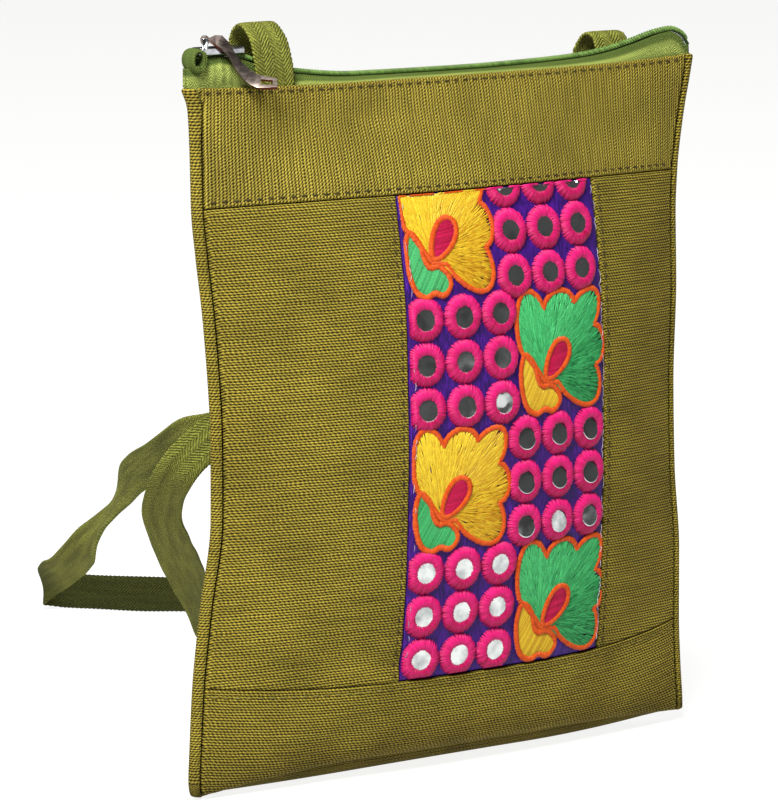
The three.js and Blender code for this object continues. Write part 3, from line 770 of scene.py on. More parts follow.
def add_strap(material):
    """One swept ribbon of webbing with looped edges, from its front root round to its back root"""
    fine = route_curve(("x", "y", "z"))
    width_heading = route_curve(("acrossX", "acrossY", "acrossZ"))
    fine_lengths = lengths(fine)
    travelled = np.linspace(0, fine_lengths[-1], int(fine_lengths[-1] / STRAP_STEP))
    centre = resampled(fine, fine_lengths, travelled)
    across = resampled(width_heading, fine_lengths, travelled)
    along = unit(np.gradient(centre, axis=0))
    across = unit(across - along * np.sum(along * across, 1, keepdims=True))
    normal = np.cross(along, across)
    angle = 2 * np.pi * (np.arange(STRAP_SIDES) + 0.5) / STRAP_SIDES
    broad = squared(np.cos(angle), STRAP_SQUARE[0]) * STRAP_WIDTH / 2
    thick = squared(np.sin(angle), STRAP_SQUARE[1]) * STRAP_THICKNESS / 2
    loops = 1 + EDGE_LOOP_DEPTH * np.sin(2 * np.pi * travelled / EDGE_LOOP)
    loops = loops + ripple(EDGE_WAVES, travelled)
    slack = ripple(SLACK_WAVES, travelled)
    ring = centre[:, None] + across[:, None] * (broad * loops[:, None])[..., None]
    curl = thick + slack[:, None] * (broad / STRAP_WIDTH) ** 2
    ring = ring + normal[:, None] * curl[..., None]
    faces = tube_faces(1, len(centre), STRAP_SIDES, True)
    uv = stacked(broad[None, :], travelled[:, None])
    strap = add_mesh("strap_webbing", ring, faces, material, "webbing", uv=uv, closed=True)
    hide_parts("strap")


# The cloth of the front


def strip_edge(side):
    return lambda girth: side * (reach(side, girth) - STRIP - SIDE_GAP)


def upright_seam(ends, shift):
    seams = (BOTTOM_SEAM_GIRTH, BAND_SEAM_GIRTH)
    low, high = ends
    return lambda girth: low + shift + (high - low) * (girth - seams[0]) / (seams[1] - seams[0])


SEAM_GAP = 0.12  # half of a level seam's gap
FRONT_STEP = 1.9  # distance between two rows of points of the front cloths
STITCH_LENGTH = 2.3
STITCH_PITCH = 3.9
STITCH_WIDTH = 0.62
STITCH_HEIGHT = 0.35
FIRST_STITCH, LAST_STITCH = 1.5, 3  # how far from the ends of a seam its stitches start and stop
seam_stitches = {"seam": [], "olive": []}


def add_front_cloth(name, left, right, low, high, material, rolls, slot="jute", drop=0.0, stitched=()):
    """A panel of the front, with turned edges and the grooves of its lines of stitches"""
    start = length_at(low) + (SEAM_GAP if low > BASE_GIRTH else 0)
    end = length_at(high) - (SEAM_GAP if high < MOUTH_GIRTH else 0)
    along = spaced(start, end, FRONT_STEP)
    girth = girth_of(along)[:, None]
    nominal = float(np.mean(right(girth) - left(girth)))
    share = spaced(0, nominal, FRONT_STEP)[None, :] / nominal
    x = between(left(girth), right(girth), share)
    to_edge = {
        "low": (along[:, None] - start) + 0 * x,
        "high": (end - along[:, None]) + 0 * x,
        "left": x - left(girth),
        "right": right(girth) - x,
    }
    turned = [rolled(to_edge[border], rolls.get(border, EDGE_ROLL)) for border in to_edge]
    sunk = np.maximum.reduce(turned)
    for border, offset, _ in stitched:
        sunk = sunk + GROOVE_DEPTH * np.exp(-(((to_edge[border] - offset) / GROOVE) ** 2))
    outer = wall(-1, x, girth, drop + sunk)
    inner = wall(-1, x, girth, drop + CLOTH)
    columns = np.stack([lengths(column) for column in np.moveaxis(outer, 1, 0)], 1)
    uv = stacked(x, columns - columns[-1])
    piece, flat = add_sheet(name, outer, inner, uv, material, slot)
    for border, offset, colour in stitched:
        if colour:
            seam_stitches[colour].append(seam_line(border, offset, start, end, left, right))
    return piece, flat


def seam_line(border, offset, start, end, left, right):
    """Both ends of each stitch along one border of a panel"""
    if border in ("low", "high"):
        girth = float(girth_of(start + offset if border == "low" else end - offset))
        first, last = float(left(girth)), float(right(girth))
        x = np.arange(first + FIRST_STITCH, last - LAST_STITCH, STITCH_PITCH)
        ends = stacked(x, x + STITCH_LENGTH)
        return ends, np.full_like(ends, girth)
    at = np.arange(start + FIRST_STITCH, end - LAST_STITCH, STITCH_PITCH)
    girth = girth_of(stacked(at, at + STITCH_LENGTH))
    return (left(girth) + offset if border == "left" else right(girth) - offset), girth


# Threads laid on the front


THREAD_ACROSS = np.array([-1, -0.62, 0, 0.62, 1])  # the rounded section of a thread
THREAD_RISE = np.array([0, 0.74, 1, 0.74, 0])
THREAD_TAPER = 0.16  # share of its length over which each end narrows
THREAD_TIP = 0.4  # share of its width that is left there


def thread_points(x, girth, inset, width, height, rise):
    """Rounded threads over the front, from the positions of points along each of them"""
    point, normal = on_front(x, girth, inset)
    along = unit(np.gradient(point, axis=1))
    across = np.cross(normal, along)
    at = np.linspace(0, 1, x.shape[1])
    taper = np.clip(np.minimum(at, 1 - at) / THREAD_TAPER, THREAD_TIP, 1)[None, :, None, None]
    sideways = across[:, :, None] * (np.asarray(width) / 2 * THREAD_ACROSS)[..., None] * taper
    upwards = normal[:, :, None] * (rise[..., None, None] + height * taper * THREAD_RISE[:, None])
    return point[:, :, None] + sideways + upwards


def add_threads(name, batches, material, slot):
    """One mesh of all the threads of a colour; a batch has points and a tint for each thread"""
    parts, tints = [], []
    for points, tint in batches:
        count, steps, sides = points.shape[:3]
        parts.append((points, tube_faces(count, steps, sides, False)))
        tints.append(np.repeat(tint, steps * sides))
    return add_mesh(name, *merged(parts), material, slot, tint=np.concatenate(tints))


STITCH_STEPS = np.linspace(0, 1, 5)  # points along a stitch
SEAM_PULL = 0.1  # how deep a seam's stitches are pulled in at their ends
SEAM_ARCH = 0.35
# Embroidery stitches: width, height, and how far their middle arches over their ends
STITCHES = {
    "ring": (0.7, 0.3, 1.0),
    "petal": (0.54, 0.26, 0.25),
    "fill": (0.55, 0.26, 0.22),
    "outline": (0.5, 0.26, 0.42),
    "loose": (0.2, 0.15, 0.4),
}


def seam_batch(ends, girths):
    """Stitches of a seam, pulled into the cloth at both ends"""
    x = between(ends[:, :1], ends[:, 1:], STITCH_STEPS)
    girth = between(girths[:, :1], girths[:, 1:], STITCH_STEPS)
    rise = np.broadcast_to(-SEAM_PULL + SEAM_ARCH * np.sin(np.pi * STITCH_STEPS) ** 0.5, x.shape)
    points = thread_points(x, girth, GROOVE_DEPTH, STITCH_WIDTH, STITCH_HEIGHT, rise)
    return points, random.uniform(0.2, 0.8, len(x))


def stitch_batch(kind, start, end, lift, tint):
    """Straight stitches between places (x, z) on the panel, lifted from it at their start and end"""
    width, height, arch = STITCHES[kind]
    x = between(start[:, :1], end[:, :1], STITCH_STEPS)
    z = between(start[:, 1:], end[:, 1:], STITCH_STEPS)
    rise = between(*lift, STITCH_STEPS) + arch * np.sin(np.pi * STITCH_STEPS) ** 0.7
    rise = np.broadcast_to(rise, x.shape)
    return thread_points(x, girth_at(x, z), PANEL_DROP, width, height, rise), tint


def quarter_turn(heading):
    return stacked(-heading[..., 1], heading[..., 0])


def in_panel(places):
    """Places held inside the borders of the embroidered panel"""
    x, z = places[:, 0], places[:, 1]
    top = wall(-1, x, BAND_SEAM_GIRTH)[:, 2]
    foot = wall(-1, x, BOTTOM_SEAM_GIRTH)[:, 2]
    share = (z - foot) / (top - foot)
    left = between(*PANEL_LEFT, share)
    inside = np.clip(x, left + PANEL_MARGIN, PANEL_RIGHT[0] - PANEL_MARGIN)
    return stacked(inside, np.clip(z, foot + PANEL_MARGIN, top - PANEL_MARGIN))


KEPT_SHARE = 0.35  # a stitch is left out if less of it than this lies on the panel


def kept(start, end, *columns):
    """Stitches that lie on the panel, with their ends held inside its borders"""
    held_start, held_end = in_panel(start), in_panel(end)
    span = np.linalg.norm(end - start, axis=1)
    stays = np.linalg.norm(held_end - held_start, axis=1) > KEPT_SHARE * span
    return [held_start[stays], held_end[stays]] + [np.asarray(column)[stays] for column in columns]


# The rings round the mirrors


RING_INNER = 3.45
RING_OUTER = 7.65
RING_STITCHES = 88
RING_SLANT = 0.7  # how far a stitch's outer end is carried round the ring
RING_LIFT = (1.0, -0.05)  # from over the mirror's edge down into the ground


def mirror_places():
    """Each mirror's node, its middle in X and Z and how far its block faces up"""
    for block, (x, z, lean) in MIRROR_BLOCKS.items():
        for row in range(MIRRORS_ACROSS):
            for column in range(MIRRORS_ACROSS):
                node = f"mirror_{block}_{row + 1}_{column + 1}"
                yield node, x + column * MIRROR_PITCH, z - row * MIRROR_PITCH, lean


def ring_batches():
    """Close stitches over the edge of each mirror, all round it"""
    batches = []
    for _, x, z, _ in mirror_places():
        turns = np.arange(RING_STITCHES) + random.uniform(-0.25, 0.25, RING_STITCHES)
        angle = 2 * np.pi * turns / RING_STITCHES
        heading = stacked(np.cos(angle), np.sin(angle))
        inner = RING_INNER + random.uniform(-0.2, 0.25, (RING_STITCHES, 1))
        outer = RING_OUTER + random.uniform(-0.3, 0.2, (RING_STITCHES, 1))
        slant = quarter_turn(heading) * RING_SLANT
        # painted light: stitches are painted lighter on each ring's upper half and darker on its lower
        # half, plus random tone
        tint = 0.55 + 0.25 * heading[:, 1] + random.uniform(-0.25, 0.25, RING_STITCHES)
        start, end, tint = kept((x, z) + heading * inner, (x, z) + heading * outer + slant, tint)
        if len(start):
            batches.append(stitch_batch("ring", start, end, RING_LIFT, tint))
    return batches


# A mirror from its foot over its rounded edge: share of its radius, and rise
MIRROR_PROFILE = table(
    "share rise",
    [[1, 0], [1, 0.55], [0.98, 0.72], [0.93, 0.75], [0.88, 0.75], [0.4, 0.75]],
)
MIRROR_SIDES = 36


def add_mirrors(material):
    """Round discs, each lying a little unevenly on the panel"""
    share, profile_rise = MIRROR_PROFILE["share"], MIRROR_PROFILE["rise"]
    angle = 2 * np.pi * np.arange(MIRROR_SIDES) / MIRROR_SIDES
    parts, nodes = [], []
    for node, x, z, block_lean in mirror_places():
        seam = float(wall(-1, x, BAND_SEAM_GIRTH)[2])
        girth = girth_at(np.array(x), np.array(min(z, seam - GAP)))
        place, normal = on_front(np.array(x), girth, PANEL_DROP)
        place = place + (0, 0, z - min(z, seam - GAP))
        across = unit(np.cross((0, 0, 1), normal))
        upward = np.cross(normal, across)
        lean = random.uniform(-MIRROR_UNEVEN, MIRROR_UNEVEN, 2) + (0, block_lean)
        out = np.outer(share, MIRROR_RADIUS * np.cos(angle))
        up = np.minimum(np.outer(share, MIRROR_RADIUS * np.sin(angle)), seam - 2 * GAP - z)
        tilt = (profile_rise > 0)[:, None] * (out * lean[0] + up * lean[1])
        rise = GAP + profile_rise[:, None] - tilt
        disc = place + out[..., None] * across + up[..., None] * upward + rise[..., None] * normal
        top = float(min(0, up.max()))
        middle = place + top * upward + (GAP + profile_rise[-1] - top * lean[1]) * normal
        index = round_again(np.arange(disc.size // 3).reshape(-1, MIRROR_SIDES))
        ring = index[-1]
        fan = stacked(ring[:-2:2], ring[1:-1:2], ring[2::2], disc.size // 3)
        points = np.concatenate([disc.reshape(-1, 3), [middle]])
        parts.append((points, np.concatenate([grid_faces(index), fan])))
        nodes.append(node)
    mirrors = add_mesh("mirror_discs", *merged(parts), material, "mirror")
    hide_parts(*nodes)


# The flowers: scallops, bud and leaf are charted in shares of a block's width and height


# Blocks by the colour of their petals: left, right, foot and top
FLOWERS = {
    "yellow": [(-30.6, 5.4, 163, 209), (-30.6, 7.4, 77, 120)],
    "green": [(12.4, 52.4, 120, 163), (13, 54, 34, 77)],
}
SCALLOPS = table(
    "fromX fromY toX toY tipX tipY",
    [
        [0.03, 0.53, 0.30, 0.845, 0.05, 0.96],
        [0.30, 0.845, 0.65, 0.865, 0.48, 0.975],
        [0.65, 0.865, 0.885, 0.67, 0.93, 0.935],
        [0.885, 0.67, 0.895, 0.355, 1.01, 0.51],
        [0.895, 0.355, 0.43, 0.25, 0.845, 0.04],
    ],
)
# The petals' edge round the foot of the bud, and where their stitches meet
COLLAR = [(0.43, 0.25), (0.28, 0.27), (0.18, 0.39), (0.03, 0.53)]
HEART = (0.28, 0.33)
PETAL_ROWS = table(
    "start end every lift",
    [
        [0.08, 0.34, 3, 0.22],
        [0.24, 0.49, 2, 0.26],
        [0.40, 0.63, 2, 0.30],
        [0.54, 0.76, 1, 0.33],
        [0.67, 0.88, 1, 0.36],
        [0.80, 1.00, 1, 0.39],
    ],
)
BUD = {"base": (0.3, 0.295), "tip": (0.54, 0.57), "half": 4.0, "swell": 0.3}  # it swells towards its tip
LEAF = table(
    "x y",
    [
        [0.07, 0.50],
        [0.17, 0.41],
        [0.20, 0.30],
        [0.25, 0.235],
        [0.34, 0.24],
        [0.43, 0.18],
        [0.45, 0.10],
        [0.37, 0.03],
        [0.27, 0.05],
        [0.18, 0.02],
        [0.08, 0.07],
        [0.025, 0.20],
        [0.015, 0.37],
    ],
)
SCALLOP_STEPS, LEAF_STEPS, BUD_STEPS = 40, 12, 60  # points of a scallop, between two of a leaf, of a bud
PETAL_FULLNESS = 0.5  # the smaller, the rounder each scallop
PETAL_SPACING = 0.38  # distance between two stitches, here along the petals' edge
FILL_SPACING = 0.42
OUTLINE_SPACING = 0.34
OUTLINE_WIDTH = 2.1
OUTLINE_SLANT = 0.25
LEAF_HEADING, BUD_HEADING = 58, 8  # the way their stitches run, in degrees
# How far each form's stitches are lifted from the ground
LIFTS = {"leaf": 0.3, "bud": 0.62, "petal_edge": 0.42, "collar": 0.44, "leaf_edge": 0.46, "bud_edge": 0.66}


def on_block(block, places):
    left, right, foot, top = block
    return np.asarray(places) * (right - left, top - foot) + (left, foot)


def even(points, step, closed=False):
    """Points at even steps along a line of points"""
    points = np.concatenate([points, points[:1]]) if closed else points
    travelled = lengths(points)
    return resampled(points, travelled, np.arange(0, travelled[-1], step))


def scallop_line():
    """The edge of the petals, from their left foot round to the right one"""
    t = np.linspace(0, 1, SCALLOP_STEPS)[:, None]
    lines = []
    for fx, fy, tx, ty, px, py in zip(*SCALLOPS.values()):
        start, end, tip = np.array((fx, fy)), np.array((tx, ty)), np.array((px, py))
        bulge = tip - (start + end) / 2
        lines.append(between(start, end, t) + bulge * np.sin(np.pi * t) ** PETAL_FULLNESS)
    return np.concatenate(lines)


def rounded_loop(points):
    """A closed smooth curve through points"""
    t = (np.arange(LEAF_STEPS) / LEAF_STEPS)[None, :, None]
    neighbours = (np.roll(points, shift, axis=0)[:, None] for shift in (1, 0, -1, -2))
    return hermite(*neighbours, t).reshape(-1, 2)


def bud_line(block):
    base, tip = on_block(block, BUD["base"]), on_block(block, BUD["tip"])
    middle, half = (base + tip) / 2, (tip - base) / 2
    side = -unit(quarter_turn(half)) * BUD["half"]
    angle = np.linspace(0, 2 * np.pi, BUD_STEPS, endpoint=False)[:, None]
    return middle + half * np.cos(angle) + side * np.sin(angle) * (1 + BUD["swell"] * np.cos(angle))


def outline_batch(line, closed, lift):
    """Satin stitches laid across a line, side by side"""
    centre = even(line, OUTLINE_SPACING, closed)
    along = unit(np.gradient(centre, axis=0))
    side = quarter_turn(along)
    count = len(centre)
    half = OUTLINE_WIDTH / 2 + random.uniform(-0.16, 0.16, (count, 1))
    slant = along * OUTLINE_SLANT
    tint = np.clip(0.62 + random.uniform(-0.3, 0.3, count), 0, 1)
    start, end, tint = kept(centre - side * half - slant, centre + side * half + slant, tint)
    return stitch_batch("outline", start, end, (lift, lift), tint)


def petal_batches(block):
    """Rows of long and short stitches that fan out from the heart to the scalloped edge"""
    heart = on_block(block, HEART)
    edge = np.concatenate([on_block(block, scallop_line()), on_block(block, COLLAR)])
    edge = even(edge, PETAL_SPACING)
    left, right, foot, top = block
    batches = []
    for reach_from, reach_to, every, lift in zip(*PETAL_ROWS.values()):
        tip = edge[:: int(every)]
        count = len(tip)
        jitter = random.uniform(-0.06, 0.06, (count, 2))
        start = between(heart, tip, reach_from + jitter[:, :1])
        end = between(heart, tip, reach_to + np.minimum(jitter[:, 1:], 0))
        end = end + random.uniform(-0.5, 0.5, (count, 2))
        # painted light: petals are painted lighter towards the top and left and darker lower right, where
        # the light falls; the rest is random tone
        height = (end[:, 1] - foot) / (top - foot)
        sideways = (end[:, 0] - left) / (right - left)
        tint = 0.5 + 0.45 * height - 0.3 * sideways + random.uniform(-0.38, 0.25, count)
        start, end, tint = kept(start, end, np.clip(tint, 0, 1))
        batches.append(stitch_batch("petal", start, end, (lift, lift), tint))
    return batches


def fill_batch(line, heading, lift):
    """Side by side stitches that fill a closed line in one direction"""
    heading = np.array((math.cos(math.radians(heading)), math.sin(math.radians(heading))))
    side = quarter_turn(heading)
    along, across = line @ heading, line @ side
    after_along, after_across = np.roll(along, -1), np.roll(across, -1)
    starts, ends = [], []
    for at in np.arange(across.min() + FILL_SPACING / 2, across.max(), FILL_SPACING):
        cuts = (across - at) * (after_across - at) < 0
        share = (at - across[cuts]) / (after_across[cuts] - across[cuts])
        found = np.sort(between(along[cuts], after_along[cuts], share))
        for low, high in zip(found[::2], found[1::2]):
            starts.append(heading * low + side * at)
            ends.append(heading * high + side * at)
    tint = np.clip(0.5 + random.uniform(-0.3, 0.3, len(starts)), 0, 1)
    start, end, tint = kept(np.array(starts), np.array(ends), tint)
    return stitch_batch("fill", start, end, (lift, lift), tint)


def add_flowers(threads):
    """Fills by colour: petals, leaves and buds, then the orange outlines over their edges"""
    fills = {"yellow": [], "green": [], "crimson": [], "orange": []}
    for petal, blocks in FLOWERS.items():
        leaf = "green" if petal == "yellow" else "yellow"
        for block in blocks:
            leaf_line = rounded_loop(on_block(block, stacked(*LEAF.values())))
            bud = bud_line(block)
            fills[petal] += petal_batches(block)
            fills[leaf].append(fill_batch(leaf_line, LEAF_HEADING, LIFTS["leaf"]))
            fills["crimson"].append(fill_batch(bud, BUD_HEADING, LIFTS["bud"]))
            edges = {
                "petal_edge": (on_block(block, scallop_line()), False),
                "collar": (on_block(block, COLLAR), False),
                "leaf_edge": (leaf_line, True),
                "bud_edge": (bud, True),
            }
            for form, (line, closed) in edges.items():
                fills["orange"].append(outline_batch(line, closed, LIFTS[form]))
    return [sew(name, batches, threads[name]) for name, batches in fills.items()]


def sew(name, batches, material):
    return add_threads(f"embroidery_{name}", batches, material, "embroidery")


PANEL_HEIGHTS = (34, 198)  # of its lower and upper seams, roughly
LOOSE_LENGTH = 2.6
LOOSE_WANDER = 0.6
LOOSE_LIFT = (1.0, 1.0)
# The panel's long edges: ends, how far inside them the threads run, and the share of them that is left
LOOSE_EDGES = [(PANEL_LEFT, 1.5, 0.45), (PANEL_RIGHT, -2.2, 0.7)]


def edge_thread_batches():
    """Thin loose threads, broken in places, that hold down both long edges of the embroidery"""
    foot, top = PANEL_HEIGHTS
    z = np.arange(foot + 3, top - 2, LOOSE_LENGTH)
    share = (z - foot) / (top - foot)
    batches = []
    for ends, inward, shown in LOOSE_EDGES:
        wander_x, wander_z = random.uniform(-LOOSE_WANDER, LOOSE_WANDER, (2, len(z)))
        x = between(*ends, share) + inward + wander_x
        places = in_panel(stacked(x, z + wander_z))
        seen = random.uniform(0, 1, len(z) - 1) < shown
        tint = random.uniform(0.0, 0.8, seen.sum())
        batches.append(stitch_batch("loose", places[:-1][seen], places[1:][seen], LOOSE_LIFT, tint))
    return batches


# The back cloth


BACK_STEP = 2.3  # distance between two rows of points of the back cloth
BACK_COLUMNS = 101
STRIP_SHARES = (0.0, 0.25, 0.6)
SEAM_TURNS = np.radians(np.linspace(0, 180, 12))[1:-1]


def add_back(material):
    """One cloth round both side seams, up the back and under the base"""
    along = spaced(0, BACK_LENGTH[-1], BACK_STEP)
    girth = np.interp(along, BACK_LENGTH, FINE_GIRTH)

    def lay(inset):
        columns = []
        for side in (-1, 1):
            half = []
            for share in STRIP_SHARES:
                strip = reach(side, girth) - STRIP * (1 - share)
                half.append(wall(-1, side * strip, girth, inset + rolled(share, STRIP_ROLL)))
            half.append(wall(-1, side * reach(side, girth, inset), girth, inset))
            half += [seam_round(side, turn, girth, inset) for turn in SEAM_TURNS]
            columns.append(half)
        shares = np.linspace(-1, 1, BACK_COLUMNS)
        middle = [wall(1, share * reach(share, girth, inset), girth, inset) for share in shares]
        return np.stack(columns[0] + middle + columns[1][::-1], 1)

    top_edge = rolled(BACK_LENGTH[-1] - along)
    outer, inner = lay(top_edge), lay(np.full_like(girth, CLOTH))
    row = lengths(outer[len(along) // 2])
    uv = stacked(row[None, :], along[:, None])
    return add_sheet("back_cloth", outer, inner, uv, material, "jute")


# The zip


TUCK_SHARES = (0, 0.35, 0.7)  # rows of a tape inside the mouth
RISE_SHARES = np.linspace(0, 1, 12)  # and from there up to the coil
TAPE_COLUMNS = 300


def zip_height(x):
    return smooth(ZIP_LINE, "x", "height", x)


def tape_surface(side, x, offset):
    """Rows of a tape from where it is sewn inside the mouth up to the coil"""
    root = STRAP_ROOTS["front" if side < 0 else "back"]
    fade = np.clip(1 - (np.abs(x - root) - STRAP_WIDTH / 2 - GAP) / ROOT_FADE, 0, 1)
    off = ROOT_ROOM * fade * fade * (3 - 2 * fade)

    def sewn(girth):
        held = np.maximum(x, TAPE_HELD)
        point = wall(side, held, np.full_like(x, girth), CLOTH + GAP + TAPE / 2)
        depth = np.maximum(np.abs(point[:, 1]) - off, TAPE_CREST)
        return stacked(held, side * (depth + offset), point[:, 2])

    floor = np.minimum.reduce([zip_height(x + shift) for shift in (-COIL_HALF_WIDTH, 0, COIL_HALF_WIDTH)])
    crest = stacked(x, side * (TAPE_CREST + offset), floor - COIL_HALF_HEIGHT / 2)
    tuck, lip = sewn(TAPE_TUCK_GIRTH), sewn(MOUTH_GIRTH)
    rows = [between(tuck, lip, share) for share in TUCK_SHARES]
    puff = PUFF["depth"] * np.exp(-(((x - PUFF["middle"]) / PUFF["half"]) ** 2)) if side < 0 else 0 * x
    puff = puff * (1 + PUCKER["depth"] * np.sin(PUCKER["turn"] * x))
    for share in RISE_SHARES:
        row = between(lip, crest, share) + stacked(0, -puff * math.sin(math.pi * share), 0)
        row[:, 0] = between(lip[:, 0], x, 1 if share else TAPE_FLARE)
        rows.append(row)
    return np.stack(rows)


def add_tapes(material):
    rolled_ends = {"front": [add_tape_curl(material)], "back": []}
    x = np.linspace(*TAPE_ENDS, TAPE_COLUMNS)
    for name, side in (("front", -1), ("back", 1)):
        outer = tape_surface(side, x, TAPE / 2)
        inner = tape_surface(side, x, -TAPE / 2)
        drop = np.linalg.norm(np.diff(outer, axis=0), axis=2)
        down = np.concatenate([np.cumsum(drop[::-1], axis=0)[::-1], np.zeros((1, len(x)))])
        uv = stacked(x[None, :], down)
        tape, flat = add_sheet(f"zip_tape_{name}_cloth", outer, inner, uv, material, "zip_tape")
        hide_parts(f"zip_tape_{name}")


def add_tape_curl(material):
    """The left end of the zip's tape, rolled up on itself"""
    turns = np.linspace(0, CURL_TURNS * 2 * np.pi, CURL_STEPS)
    shrink = 1 - CURL_TIGHTENS * turns / turns[-1]
    start = math.radians(CURL_START)
    y = np.linspace(CURL_FRONT, CURL_BACK, CURL_ROWS)
    bulge = 1 - CURL_NECK * np.abs(np.linspace(-1, 1, CURL_ROWS)) ** 3

    def lay(inset):
        across, up = ((radius * shrink[None, :] - inset) * bulge[:, None] for radius in CURL_RADII)
        x = CURL_CENTRE[0] + across * np.cos(start + turns)
        z = CURL_CENTRE[1] - up * np.sin(start + turns)
        return stacked(x, y[:, None], z)

    outer, inner = lay(0.0), lay(TAPE)
    along = lengths(outer[0])
    uv = stacked(along[None, :], y[:, None])
    curl, _ = add_sheet("zip_tape_curl", outer, inner, uv, material, "zip_tape")
    return curl


def add_coil(material):
    """Slanting teeth on both sides of the zip's line, over a slimmer core"""
    left, right = ZIP_LINE["x"][0], ZIP_LINE["x"][-1]
    x = np.arange(left + COIL_MARGIN, right - COIL_MARGIN, TOOTH_PITCH)
    at = np.linspace(0, 1, TOOTH_STEPS)
    angle = 2 * np.pi * np.arange(COIL_SIDES) / COIL_SIDES
    parts, tints = [], []
    for side in (-1, 1):
        tooth_x = x[:, None] + (at - 0.5) * TOOTH_LEAN + (TOOTH_PITCH / 2 if side > 0 else 0)
        out = TOOTH_ROOT + at * TOOTH_REACH
        rise = TOOTH_TOP - TOOTH_DROP * at**2.4
        centre = stacked(tooth_x, side * out, zip_height(tooth_x) + rise)
        along = unit(np.gradient(centre, axis=1))
        upward = np.broadcast_to(np.array((0.0, 0.0, 1.0)), along.shape)
        across = unit(np.cross(along, upward))
        upward = np.cross(across, along)
        radius = TOOTH_RADIUS * np.clip(np.minimum(at, 1 - at) / TOOTH_TAPER, TOOTH_TIP, 1)
        ring = across[:, :, None] * np.cos(angle)[:, None] + upward[:, :, None] * np.sin(angle)[:, None]
        tube = centre[:, :, None] + ring * radius[None, :, None, None]
        parts.append((tube, tube_faces(len(x), TOOTH_STEPS, COIL_SIDES, True)))
        tints.append(np.repeat(random.uniform(0.35, 0.95, len(x)), TOOTH_STEPS * COIL_SIDES))
    core_x = np.linspace(left, right, CORE_STEPS)[:, None]
    core_z = zip_height(core_x) - CORE_DROP + CORE_RADII[1] * np.sin(angle)
    core = stacked(core_x, CORE_RADII[0] * np.cos(angle), core_z)
    parts.append((core, tube_faces(1, CORE_STEPS, COIL_SIDES, True)))
    tints.append(np.full(CORE_STEPS * COIL_SIDES, CORE_TINT))
    coil = add_mesh("zip_coil_teeth", *merged(parts), material, "zip_coil", tint=np.concatenate(tints))
    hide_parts("zip_coil")


BEVEL_ANGLE = math.radians(35)
SHARP_ANGLE = math.radians(50)


def add_hardware(node, name, material, body, bevel):
    """A copy of a metal solid with its edges rounded off"""
    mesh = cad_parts[node].data.copy()
    mesh.name = name
    mesh.materials.clear()
    mesh.materials.append(material)
    piece = add_object(name, mesh)
    weld = piece.modifiers.new("weld", "WELD")
    weld.merge_threshold = 0.01 * MM
    edges = piece.modifiers.new("bevel", "BEVEL")
    edges.width = bevel * MM
    edges.segments = 2
    edges.limit_method = "ANGLE"
    edges.angle_limit = BEVEL_ANGLE
    mesh.shade_smooth()
    mesh.set_sharp_from_angle(angle=SHARP_ANGLE)
    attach(piece, body)
    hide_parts(node)


# The scene


def add_floor(material):
    half = FLOOR_SIZE / 2
    corners = [(-half, -half), (half, -half), (half, half), (-half, half)]
    mesh = bpy.data.meshes.new("floor")
    mesh.from_pydata([(x, y, -FLOOR_DROP * MM) for x, y in corners], [], [(0, 1, 2, 3)])
    mesh.materials.append(material)
    floor = add_object("floor", mesh)


add_camera()
add_lights()
add_floor(floor_paper("floor_paper"))
weave = {"lane": 3.5, "pitch": 1.3, "depth": 0.4, "painted_shade_at": STRAP_PAINTED_SHADE}
add_strap(herringbone("webbing_olive", "#8c8d3c", "#141804", **weave))

weave = {"rib": 0.94, "bead": 1.4, "slant": 0.7, "lead": 0.62}
jute_level = woven("jute_level_ribs", "#b29d3a", "#1b1402", **weave)
weave = {"rib": 1.2, "bead": 1.1, "slant": 0.8, "lead": 0.5, "turned": True}
jute_upright = woven("jute_upright_ribs", "#bda844", "#2b2205", **weave)
indigo = satin_ground("indigo_ground", "#471187", "#240559", gaps="#12062e")
FULL_WIDTH = {"left": strip_edge(-1), "right": strip_edge(1)}
BETWEEN_SEAMS = {"low": BOTTOM_SEAM_GIRTH, "high": BAND_SEAM_GIRTH}
SIDE_ROLLS = {"left": SIDE_ROLL, "right": SIDE_ROLL}
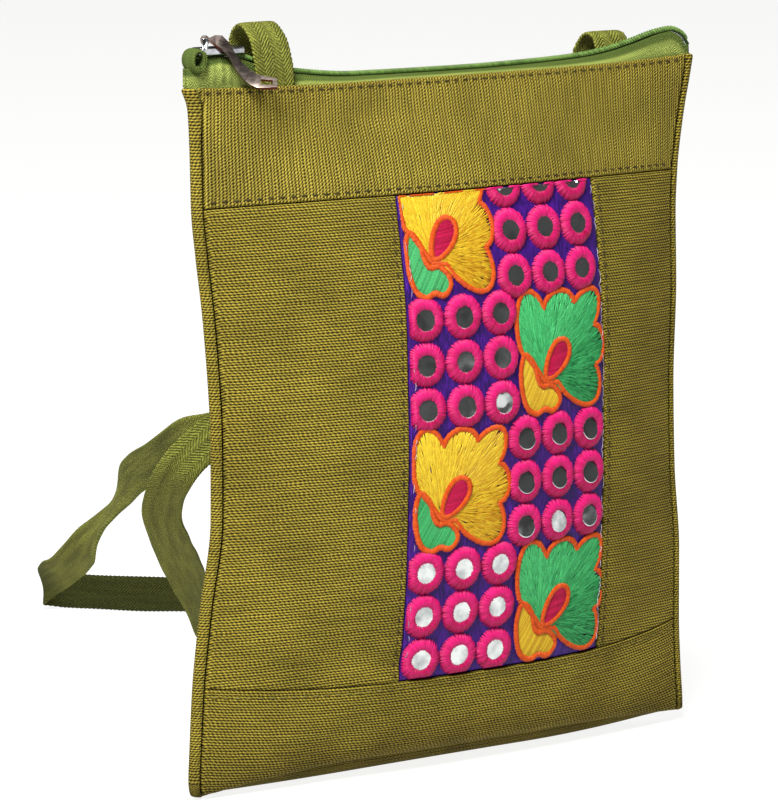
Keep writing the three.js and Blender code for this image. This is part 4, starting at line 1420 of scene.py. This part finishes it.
# Lines of stitches: border, distance from it and thread; a groove shows no thread
LEFT_GROOVE, RIGHT_GROOVE = ("left", 2.4, None), ("right", 2.4, None)
CLOTHS = {
    "top_band": dict(
        **FULL_WIDTH,
        low=BAND_SEAM_GIRTH,
        high=MOUTH_GIRTH,
        material=jute_upright,
        stitched=[("low", 2.0, "seam"), ("high", 1.7, "seam"), LEFT_GROOVE, RIGHT_GROOVE],
        rolls=SIDE_ROLLS,
    ),
    "bottom_band": dict(
        **FULL_WIDTH,
        low=BASE_GIRTH,
        high=BOTTOM_SEAM_GIRTH,
        material=jute_level,
        stitched=[("high", 2.2, "olive"), LEFT_GROOVE, RIGHT_GROOVE],
        rolls={**SIDE_ROLLS, "high": FLAT_ROLL},
    ),
    "left_panel": dict(
        **BETWEEN_SEAMS,
        left=strip_edge(-1),
        right=upright_seam(PANEL_LEFT, -GAP / 2),
        material=jute_level,
        stitched=[("right", 2.2, "seam"), LEFT_GROOVE],
        rolls={"left": SIDE_ROLL, "low": FLAT_ROLL},
    ),
    "right_panel": dict(
        **BETWEEN_SEAMS,
        left=upright_seam(PANEL_RIGHT, GAP / 2),
        right=strip_edge(1),
        material=jute_level,
        stitched=[("left", 2.2, "seam"), RIGHT_GROOVE],
        rolls={"right": SIDE_ROLL, "low": FLAT_ROLL},
    ),
}
for node, facts in CLOTHS.items():
    cloth, flat = add_front_cloth(f"{node}_cloth", **facts)
    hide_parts(node)

back, flat = add_back(jute_level)
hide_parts("back_panel")

THREADS = {
    "yellow": ("#d6b82b", "#a67103"),
    "green": ("#44b068", "#04622d"),
    "crimson": ("#c20f4c", "#88032a"),
    "orange": ("#cb530c", "#a52500"),
    "pink": ("#cd146c", "#8a0036"),
    "clear": ("#c4b9c0", "#7c6984"),
    "seam": ("#463a12", "#231b05", 0.7),
    "olive": ("#7a6e2b", "#5c521d", 0.7),
}
threads = {name: thread(f"thread_{name}", *tones) for name, tones in THREADS.items()}
flowers = add_flowers(threads)
flowers.append(sew("edge_threads", edge_thread_batches(), threads["clear"]))
rings = sew("rings", ring_batches(), threads["pink"])
panel, flat = add_front_cloth(
    "embroidered_cloth",
    **BETWEEN_SEAMS,
    left=upright_seam(PANEL_LEFT, GAP / 2),
    right=upright_seam(PANEL_RIGHT, -GAP / 2),
    material=indigo,
    rolls={},
    slot="embroidery",
    drop=PANEL_DROP,
)
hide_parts("embroidered_panel")
add_mirrors(mirror_glass("mirror_glass"))

for colour, lines in seam_stitches.items():
    batches = [seam_batch(ends, girths) for ends, girths in lines]
    add_threads(f"stitches_{colour}", batches, threads[colour], "jute")

weave = {"lane": 2.4, "pitch": 0.9, "depth": 0.25, "along_first": True, "edge": 2.8}
add_tapes(herringbone("zip_tape_green", "#abb55e", "#2c4214", **weave))
add_coil(thread("zip_coil_nylon", "#66823d", "#22390f", roughness=0.4))
chrome = metal("chrome_plate", "#e4e6ea", "#a7a9ae", under="#8b8b8f", roughness=0.1, grain=0.02)
copper = metal("puller_plate", "#b3a19a", "#877771", under="#54281f", roughness=0.3, grain=0.03)
add_hardware("zip_slider", "slider_plated", chrome, "bag", bevel=0.18)
add_hardware("zip_puller", "puller_leaf", copper, "puller", bevel=0.16)
